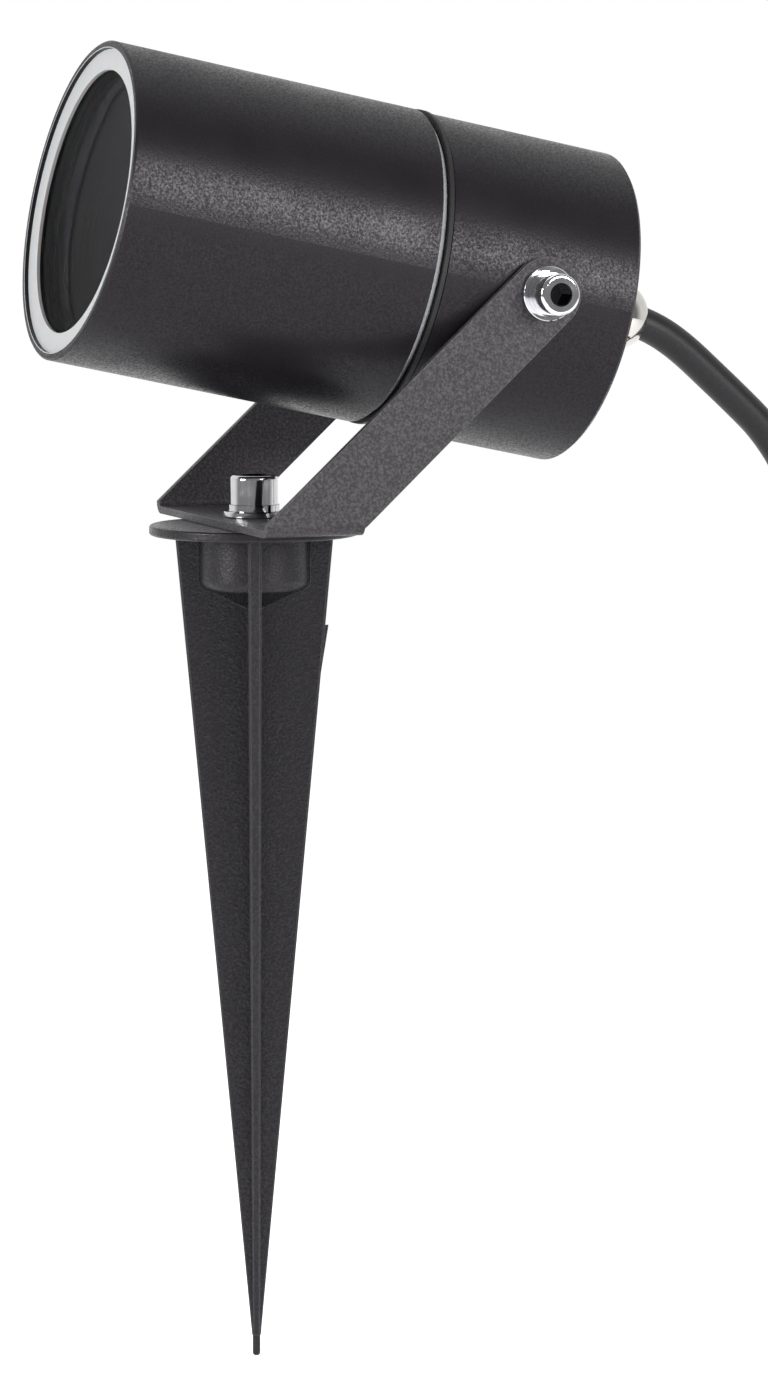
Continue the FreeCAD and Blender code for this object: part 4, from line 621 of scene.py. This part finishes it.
# Core insulation: smooth, coloured through.
CORE_BROWN = GrainFinish("brown core insulation", "#5b3320", "#6b3f29", 0.6, 0.005, 0.4)
CORE_BLUE = GrainFinish("blue core insulation", "#1f5b9c", "#2c69aa", 0.6, 0.005, 0.4)
CORE_GREEN = StripeFinish("green and yellow core insulation", "#2f7d33", "#3f8c3c", 0.6, 0.005, 0.4)
# Polypropylene: the smooth, slightly waxy collar of a wire-end ferrule for 1.0 square millimetre.
COLLAR_RED = GrainFinish("polypropylene ferrule collar", "#9c2a2b", "#a83a38", 0.8, 0.004, 0.35)

MADE: dict[str, bpy.types.Material] = {}


def material_of(finish: Finish) -> bpy.types.Material:
    """Return a finish's material, built once.

    Args:
        finish: The finish.

    Returns:
        Its material.
    """
    if finish.name not in MADE:
        MADE[finish.name] = finish.material()
    return MADE[finish.name]


def dress(node: str, finish: Finish) -> None:
    """Give a carried-over CAD node its finish.

    Args:
        node: The node's name.
        finish: The finish.
    """
    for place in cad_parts[node].material_slots:
        place.material = material_of(finish)
    LOG.info("dressed %s: %s", node, finish.name)


# ---------------------------------------------------------------- sub-assemblies


@dataclass(frozen=True)
class GroundSpike:
    """The moulded spike with its insert."""

    def build(self) -> None:
        """Dress the spike and its insert."""
        dress("ground_spike", SPIKE_NYLON)
        dress("spike_insert", TURNED_BRASS)


@dataclass(frozen=True)
class BracketAssembly:
    """The folded bracket and the screws and washers that hold it."""

    def build(self) -> None:
        """Dress the bracket, its screws and washers."""
        dress("bracket", BRACKET_COAT)
        dress("base_screw", BASE_SCREW_STEEL)
        dress("pivot_screws", TILT_SCREW_STEEL)
        for node in ("base_spring_washer", "base_flat_washer", "pivot_flat_washers", "pivot_spring_washers"):
            dress(node, BRIGHT_STEEL)
        dress("pivot_spacers", SPACER_NYLON)


@dataclass(frozen=True)
class BarrelAssembly:
    """The two barrels, the seal in the seam, and the front glass in its gasket."""

    def build(self) -> None:
        """Dress the barrels, seal, gasket and glass."""
        dress("rear_barrel", REAR_COAT)
        dress("front_barrel", FRONT_COAT)
        dress("joint_seal", SEAL_RUBBER)
        dress("glass_gasket", GASKET_SILICONE)
        dress("front_glass", FRONT_PANE)


@dataclass(frozen=True)
class LampSocket:
    """The ceramic lampholder on its strip, the terminal block and the wiring."""

    def build(self) -> None:
        """Dress what is inside the barrel."""
        dress("lampholder", CERAMIC)
        for node in ("lampholder_bracket", "lampholder_screws", "bracket_screws", "earth_screw"):
            dress(node, ZINC_PLATE)
        dress("earth_tag", TINNED_COPPER)
        dress("terminal_block", BLOCK_NYLON)
        dress("lamp_leads", SLEEVE_FIBRE)
        dress("live_core", CORE_BROWN)
        dress("neutral_core", CORE_BLUE)
        dress("earth_core", CORE_GREEN)


@dataclass(frozen=True)
class CableGland:
    """The domed gland behind the rear face."""

    def build(self) -> None:
        """Dress the gland and the cable inside it."""
        dress("gland_body", NICKEL_PLATE)
        dress("gland_cap", NICKEL_PLATE)
        dress("gland_seal", SEAL_RUBBER)
        dress("cable_entry", SHEATH_RUBBER)


@dataclass(frozen=True)
class SupplyCable:
    """The supply cable: free from the gland to the ground, then coiled and tied, with a bared end."""

    diameter: float = 0.0069
    first_run: float = 0.006
    gland_end: float = -0.02865
    free_route: tuple[Point, ...] = (
        (0, 0.08955, 0.0398), (0, 0.0949, 0.0361), (0, 0.1008, 0.0309), (0, 0.1072, 0.0252),
        (0, 0.1138, 0.019), (0, 0.1198, 0.0102), (0, 0.1245, -0.002), (0, 0.1272, -0.02),
        (0, 0.1276, -0.046), (0, 0.126, -0.0785), (0, 0.1238, -0.107), (0, 0.1227, -0.12756),
        (-0.00193, 0.12515, -0.14012), (-0.00537, 0.13007, -0.15051), (-0.00983, 0.13644, -0.15829),
        (-0.01504, 0.14389, -0.16354), (-0.02075, 0.15204, -0.1662), (-0.02666, 0.16047, -0.1662))
    coil_radius: float = 0.048
    coil_pitch: float = 0.0079
    coil_rise: float = 0.0076
    layer_turns: float = 2.0
    climb_turns: float = 0.5
    coil_swing: float = 35.0
    points_per_turn: int = 24
    steps_between: int = 12
    ring_length: float = 0.0016
    sides: int = 24

    def free_points(self) -> list[Vector]:
        """Return the free route's points, from the gland to the coil."""
        on_axis = [HEAD @ Vector((0, 0, self.gland_end - ahead)) for ahead in (0, self.first_run)]
        return on_axis + [Vector(place) for place in self.free_route]

    def coil_points(self) -> list[Vector]:
        """Wind the coil: in on the lower layer, up, and out again on the upper one.

        Returns:
            The coil's points.
        """
        swing = Matrix.Rotation(math.radians(self.coil_swing), 3, "Z")
        centre = self.free_points()[-1] + swing @ Vector((self.coil_radius, self.diameter, 0))
        inmost = self.coil_radius - self.coil_pitch * self.layer_turns
        total = 2 * self.layer_turns + self.climb_turns + self.coil_swing / 360
        steps = round(total * self.points_per_turn)
        # A quadratic spline runs inside its points, so they stand out by what it cuts off.
        outset = 1 / (0.75 + 0.25 * math.cos(2 * math.pi / self.points_per_turn))
        points = []
        for step in range(steps + 1):
            turns = total * step / steps
            climb = min(max(turns - self.layer_turns, 0), self.climb_turns)
            climbed = climb / self.climb_turns
            if turns < self.layer_turns:
                radius = inmost + self.coil_pitch * (self.layer_turns - turns)
            elif climb < self.climb_turns:
                radius = inmost - self.coil_pitch * climb * (1 - climbed)
            else:
                radius = inmost + self.coil_pitch * (turns - self.layer_turns - self.climb_turns)
            height = self.coil_rise * climbed**2 * (3 - 2 * climbed)
            angle = 2 * math.pi * turns
            out = Vector((-math.cos(angle), math.sin(angle), 0)) * radius * (outset if step < steps else 1)
            points.append(centre + swing @ out + Vector((0, 0, height)))
        return points + [points[-1] - Vector((0, self.diameter, 0))]

    def route(self) -> bpy.types.Object:
        """Draw the whole cable's line as one smooth quadratic spline.

        Returns:
            The line.
        """
        points = self.free_points() + self.coil_points()
        curve = bpy.data.curves.new("cable_route", "CURVE")
        curve.dimensions = "3D"
        curve.resolution_u = self.steps_between
        spline = curve.splines.new("NURBS")
        spline.points.add(len(points) - 1)
        for place, point in zip(spline.points, points):
            place.co = (*point, 1)
        spline.order_u = 3
        spline.use_endpoint_u = True
        line = bpy.data.objects.new("cable_route", curve)
        bpy.context.scene.collection.objects.link(line)
        return line

    def sweep_tree(self) -> Tree:
        """Build the geometry tree that sweeps a round sheath along the route.

        Returns:
            The tree.
        """
        tree = bpy.data.node_groups.new("cable sheath", "GeometryNodeTree")
        tree.interface.new_socket("Route", in_out="INPUT", socket_type="NodeSocketGeometry")
        for name in ("Radius", "Ring Length"):
            tree.interface.new_socket(name, in_out="INPUT", socket_type="NodeSocketFloat")
        tree.interface.new_socket("Sides", in_out="INPUT", socket_type="NodeSocketInt")
        tree.interface.new_socket("Sheath", in_out="OUTPUT", socket_type="NodeSocketGeometry")
        given = add_node(tree, "NodeGroupInput")
        spaced = add_node(tree, "GeometryNodeResampleCurve", {
            "Curve": given.outputs["Route"], "Length": given.outputs["Ring Length"]}, mode="LENGTH")
        ring = add_node(tree, "GeometryNodeCurvePrimitiveCircle", {
            "Radius": given.outputs["Radius"], "Resolution": given.outputs["Sides"]})
        swept = add_node(tree, "GeometryNodeCurveToMesh", {
            "Curve": spaced.outputs[0], "Profile Curve": ring.outputs[0], "Fill Caps": True})
        smooth = add_node(tree, "GeometryNodeSetShadeSmooth", {"Geometry": swept.outputs[0]})
        real = add_node(tree, "GeometryNodeRealizeInstances", {"Geometry": smooth.outputs[0]})
        coated = add_node(tree, "GeometryNodeSetMaterial", {
            "Geometry": real.outputs[0], "Material": material_of(SHEATH_RUBBER)})
        add_node(tree, "NodeGroupOutput", {0: coated.outputs[0]})
        return tree

    def build(self) -> None:
        line = self.route()
        path = [tuple(vertex.co) for vertex in bpy.data.meshes.new_from_object(line).vertices]
        tree = self.sweep_tree()
        sizes = {"Radius": self.diameter / 2, "Ring Length": self.ring_length, "Sides": self.sides}
        cable = baked(line, tree, sizes, "supply_lead")
        bpy.data.objects.remove(line)
        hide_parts("supply_cable", "cable_coil")
        end = CableEnd().build()
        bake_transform(cable)
        dress("coil_tie", TIE_WEAVE)


@dataclass(frozen=True)
class CableEnd:
    """The bared end of the cable: a cut sheath and three cores with wire-end ferrules.

    Each profile gives radius and distance from the start, in millimetres, from axis to axis.
    """

    start: Point = (0.05747, 0.1867, -0.1586)
    sheath: Profile = ((0, 0), (3.45, 0), (3.45, 23.7), (3.2, 24), (2.85, 24), (2.8, 22.6), (0, 22.6))
    core: Profile = ((0, 22.65), (1.1, 22.65), (1.1, 44.0), (0, 44.0))
    collar: Profile = ((0, 44.05), (1.3, 44.05), (1.3, 46.6), (1.0, 49.05), (0, 49.05))
    pin: Profile = ((0, 49.1), (0.75, 49.1), (0.75, 56.5), (0.5, 57.05), (0, 57.05))
    cores: int = 3
    core_circle_mm: float = 1.6
    first_core: float = 35.0
    sharp_from: float = 40.0
    sides: int = 24

    def turned(
        self, mesh: bmesh.types.BMesh, profile: Profile, across: float, up: float, material: int,
    ) -> None:
        """Add a closed turned shell whose axis runs forwards.

        Args:
            mesh: The mesh that takes it.
            profile: Radius and distance from the start, in millimetres, from axis to axis.
            across: The axis's place across the cable, in millimetres.
            up: The axis's height above the cable's middle, in millimetres.
            material: Place of the shell's material.
        """
        rings = []
        for radius, along in profile:
            count = self.sides if radius else 1
            rings.append([mesh.verts.new((
                self.start[0] + (across + radius * math.cos(2 * math.pi * side / self.sides)) * MM,
                self.start[1] - along * MM,
                self.start[2] + (up + radius * math.sin(2 * math.pi * side / self.sides)) * MM))
                for side in range(count)])
        for near, far in zip(rings, rings[1:]):
            for side in range(self.sides):
                turn = (side + 1) % self.sides
                corners = [ring[place % len(ring)] for ring, place in (
                    (near, side), (near, turn), (far, turn), (far, side))]
                # A ring of one point, on the axis, gives triangles.
                face = mesh.faces.new(list(dict.fromkeys(corners)))
                face.material_index = material
                face.smooth = True

    def build(self) -> bpy.types.Object:
        """Make the cable's end in place of its solids.

        Returns:
            The piece.
        """
        mesh = bmesh.new()
        self.turned(mesh, self.sheath, 0, 0, 0)
        for place in range(self.cores):
            angle = math.radians(self.first_core + 360 / self.cores * place)
            across, up = self.core_circle_mm * math.cos(angle), self.core_circle_mm * math.sin(angle)
            for profile, material in ((self.core, 1 + place), (self.collar, 4), (self.pin, 5)):
                self.turned(mesh, profile, across, up, material)
        bmesh.ops.recalc_face_normals(mesh, faces=mesh.faces)
        data = bpy.data.meshes.new("cable_bared_end")
        mesh.to_mesh(data)
        mesh.free()
        data.set_sharp_from_angle(angle=math.radians(self.sharp_from))
        for finish in (SHEATH_RUBBER, CORE_BROWN, CORE_BLUE, CORE_GREEN, COLLAR_RED, TINNED_COPPER):
            data.materials.append(material_of(finish))
        piece = bpy.data.objects.new("cable_bared_end", data)
        bpy.context.scene.collection.objects.link(piece)
        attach(piece, Body.BRACKET.value)
        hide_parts("cable_end")
        LOG.info("made cable_bared_end")
        return piece


def baked(source: bpy.types.Object, tree: Tree, sizes: dict[str, float], name: str) -> bpy.types.Object:
    """Run a geometry tree on an object and keep the result as a plain mesh.

    Args:
        source: Object that the tree works on.
        tree: The geometry tree.
        sizes: Values of the tree's named inputs.
        name: Name of the new piece.

    Returns:
        The new object, with its place in its mesh.
    """
    modifier = source.modifiers.new(tree.name, "NODES")
    modifier.node_group = tree
    for socket in tree.interface.items_tree:
        if socket.in_out == "INPUT" and socket.name in sizes:
            modifier[socket.identifier] = sizes[socket.name]
    source.update_tag()
    evaluated = source.evaluated_get(bpy.context.evaluated_depsgraph_get())
    mesh = bpy.data.meshes.new_from_object(evaluated)
    mesh.name = name
    source.modifiers.remove(modifier)
    piece = bpy.data.objects.new(name, mesh)
    bpy.context.scene.collection.objects.link(piece)
    return piece


# ---------------------------------------------------------------- studio


@dataclass(frozen=True)
class SoftLight:
    """A square soft light, with its side in metres and its power in watts."""

    name: str
    place: Point
    size: float
    power: float

    def hang(self, aim: Point) -> None:
        """Hang the light.

        Args:
            aim: The point that it faces.
        """
        light = bpy.data.lights.new(self.name, "AREA")
        light.shape = "SQUARE"
        light.size = self.size
        light.energy = self.power
        lamp = bpy.data.objects.new(self.name, light)
        lamp.location = self.place
        lamp.rotation_euler = (Vector(self.place) - Vector(aim)).to_track_quat("Z", "Y").to_euler()
        bpy.context.scene.collection.objects.link(lamp)


@dataclass(frozen=True)
class Studio:
    """Pale floor, white surroundings and soft lights.

    Reflections show white where the room_side direction's share is below backdrop_to, and the dim room
    above room_from.
    """

    floor_size: float = 2.6
    floor_colour: str = "#e9e9ea"
    fibre_colour: str = "#f1f1f2"
    fibres_per_metre: float = 900.0
    floor_glow: float = 0.86
    ambient: float = 0.16
    room: float = 0.25
    room_side: Point = (0.93, -0.34, 0.1)
    backdrop_to: float = -0.25
    room_from: float = 0.15
    aim: Point = (0, 0.03, 0)
    lights: tuple[SoftLight, ...] = (
        SoftLight("key softbox", (1.06, 0.46, 0.4), 0.5, 12.0),
        SoftLight("front softbox", (0.26, -1.15, 0.3), 0.45, 10.8),
        SoftLight("overhead softbox", (-0.2, -0.1, 1.1), 0.8, 2.4))

    def build(self) -> None:
        """Make the floor, the world and the lights."""
        mesh = bpy.data.meshes.new("studio_floor")
        half = self.floor_size / 2
        signs = ((-1, -1), (1, -1), (1, 1), (-1, 1))
        mesh.from_pydata([(x * half, y * half, FLOOR_LEVEL) for x, y in signs], [], [(0, 1, 2, 3)])
        floor = bpy.data.objects.new("studio_floor", mesh)
        bpy.context.scene.collection.objects.link(floor)
        mesh.materials.append(self.floor_material())
        self.light_world()
        for light in self.lights:
            light.hang(self.aim)

    def seen_directly(self, tree: Tree) -> Socket:
        """Tell camera, glossy and transmission rays from the others.

        Args:
            tree: The tree that takes the nodes.

        Returns:
            A socket that is 1 for those three kinds.
        """
        path = add_node(tree, "ShaderNodeLightPath")
        first = add_node(tree, "ShaderNodeMath", {
            0: path.outputs["Is Camera Ray"], 1: path.outputs["Is Glossy Ray"]}, operation="MAXIMUM")
        both = add_node(tree, "ShaderNodeMath", {
            0: first.outputs[0], 1: path.outputs["Is Transmission Ray"]}, operation="MAXIMUM")
        return both.outputs[0]

    def floor_material(self) -> bpy.types.Material:
        """Build the floor: white paper that still takes the object's shadow.

        Returns:
            The new material.
        """
        material, tree = new_material("white paper sweep")
        place = add_node(tree, "ShaderNodeTexCoord").outputs["Object"]
        fibres = add_node(tree, "ShaderNodeTexNoise", {
            "Vector": place, "Scale": self.fibres_per_metre, "Detail": 3.0})
        paper = add_node(tree, "ShaderNodeMix", {
            0: fibres.outputs["Fac"], 6: self.floor_colour, 7: self.fibre_colour}, data_type="RGBA")
        matt = add_node(tree, "ShaderNodeBsdfDiffuse", {"Color": paper.outputs[2]})
        glow = add_node(tree, "ShaderNodeEmission", {"Color": WHITE, "Strength": self.floor_glow})
        lit = add_node(tree, "ShaderNodeAddShader", {0: matt.outputs[0], 1: glow.outputs[0]})
        either = add_node(tree, "ShaderNodeMixShader", {
            0: self.seen_directly(tree), 1: matt.outputs[0], 2: lit.outputs[0]})
        add_node(tree, "ShaderNodeOutputMaterial", {"Surface": either.outputs[0]})
        return material

    def light_world(self) -> None:
        """Make the surroundings white to the eye, and a soft ambient light on the object."""
        world = bpy.data.worlds.new("white studio")
        world.use_nodes = True
        tree = world.node_tree
        tree.nodes.clear()
        soft, white, room = [
            add_node(tree, "ShaderNodeBackground", {"Color": WHITE, "Strength": strength}).outputs[0]
            for strength in (self.ambient, 1.0, self.room)]
        either = add_node(tree, "ShaderNodeMixShader", {0: self.seen_directly(tree), 1: soft, 2: white})
        # Reflections show the white backdrop behind the object and the dim room in front of it.
        outlook = add_node(tree, "ShaderNodeTexCoord")
        ahead = add_node(tree, "ShaderNodeVectorMath", {
            0: outlook.outputs["Generated"], 1: self.room_side}, operation="DOT_PRODUCT")
        backdrop = add_node(tree, "ShaderNodeMapRange", {
            "Value": ahead.outputs["Value"], "From Min": self.backdrop_to, "From Max": self.room_from,
            "To Min": 1.0, "To Max": 0.0})
        mirrored = add_node(tree, "ShaderNodeMixShader", {0: backdrop.outputs[0], 1: room, 2: white})
        rays = add_node(tree, "ShaderNodeLightPath")
        shown = add_node(tree, "ShaderNodeMixShader", {
            0: rays.outputs["Is Glossy Ray"], 1: either.outputs[0], 2: mirrored.outputs[0]})
        add_node(tree, "ShaderNodeOutputWorld", {"Surface": shown.outputs[0]})
        bpy.context.scene.world = world


@dataclass(frozen=True)
class PhotoCamera:
    """The camera at the photograph's place and angle, which is in degrees."""

    azimuth: float = 69.52
    elevation: float = 6.575
    distance: float = 1.08096
    right_of_axis: float = 0.026418
    below_axis: float = 0.033346
    nearest: float = 0.02
    lens_mm: float = 91.265
    sensor_mm: float = 24.0

    def build(self) -> None:
        """Set up the camera and the picture's plain view."""
        turn, rise = math.radians(self.azimuth), math.radians(self.elevation)
        right = Vector((math.cos(turn), math.sin(turn), 0))
        back = Vector((math.sin(turn) * math.cos(rise), -math.cos(turn) * math.cos(rise), math.sin(rise)))
        up = back.cross(right)
        camera = bpy.data.cameras.new("photo camera")
        camera.sensor_fit = "VERTICAL"
        camera.sensor_height = self.sensor_mm
        camera.lens = self.lens_mm
        camera.clip_start = self.nearest
        holder = bpy.data.objects.new("photo camera", camera)
        place = back * self.distance + right * self.right_of_axis - up * self.below_axis
        turned = Matrix((right, up, back)).transposed().to_4x4()
        holder.matrix_world = Matrix.Translation(place) @ turned
        bpy.context.scene.collection.objects.link(holder)
        bpy.context.scene.camera = holder
        bpy.context.scene.view_settings.view_transform = "Standard"


def main() -> None:
    """Build the spotlight, its studio and the camera."""
    logging.basicConfig(level=logging.INFO, format="%(message)s")
    PhotoCamera().build()
    Studio().build()
    for assembly in (GroundSpike, BracketAssembly, BarrelAssembly, LampSocket, CableGland, SupplyCable):
        assembly().build()
        LOG.info("built %s", assembly.__name__)


if __name__ == "__main__":
    main()
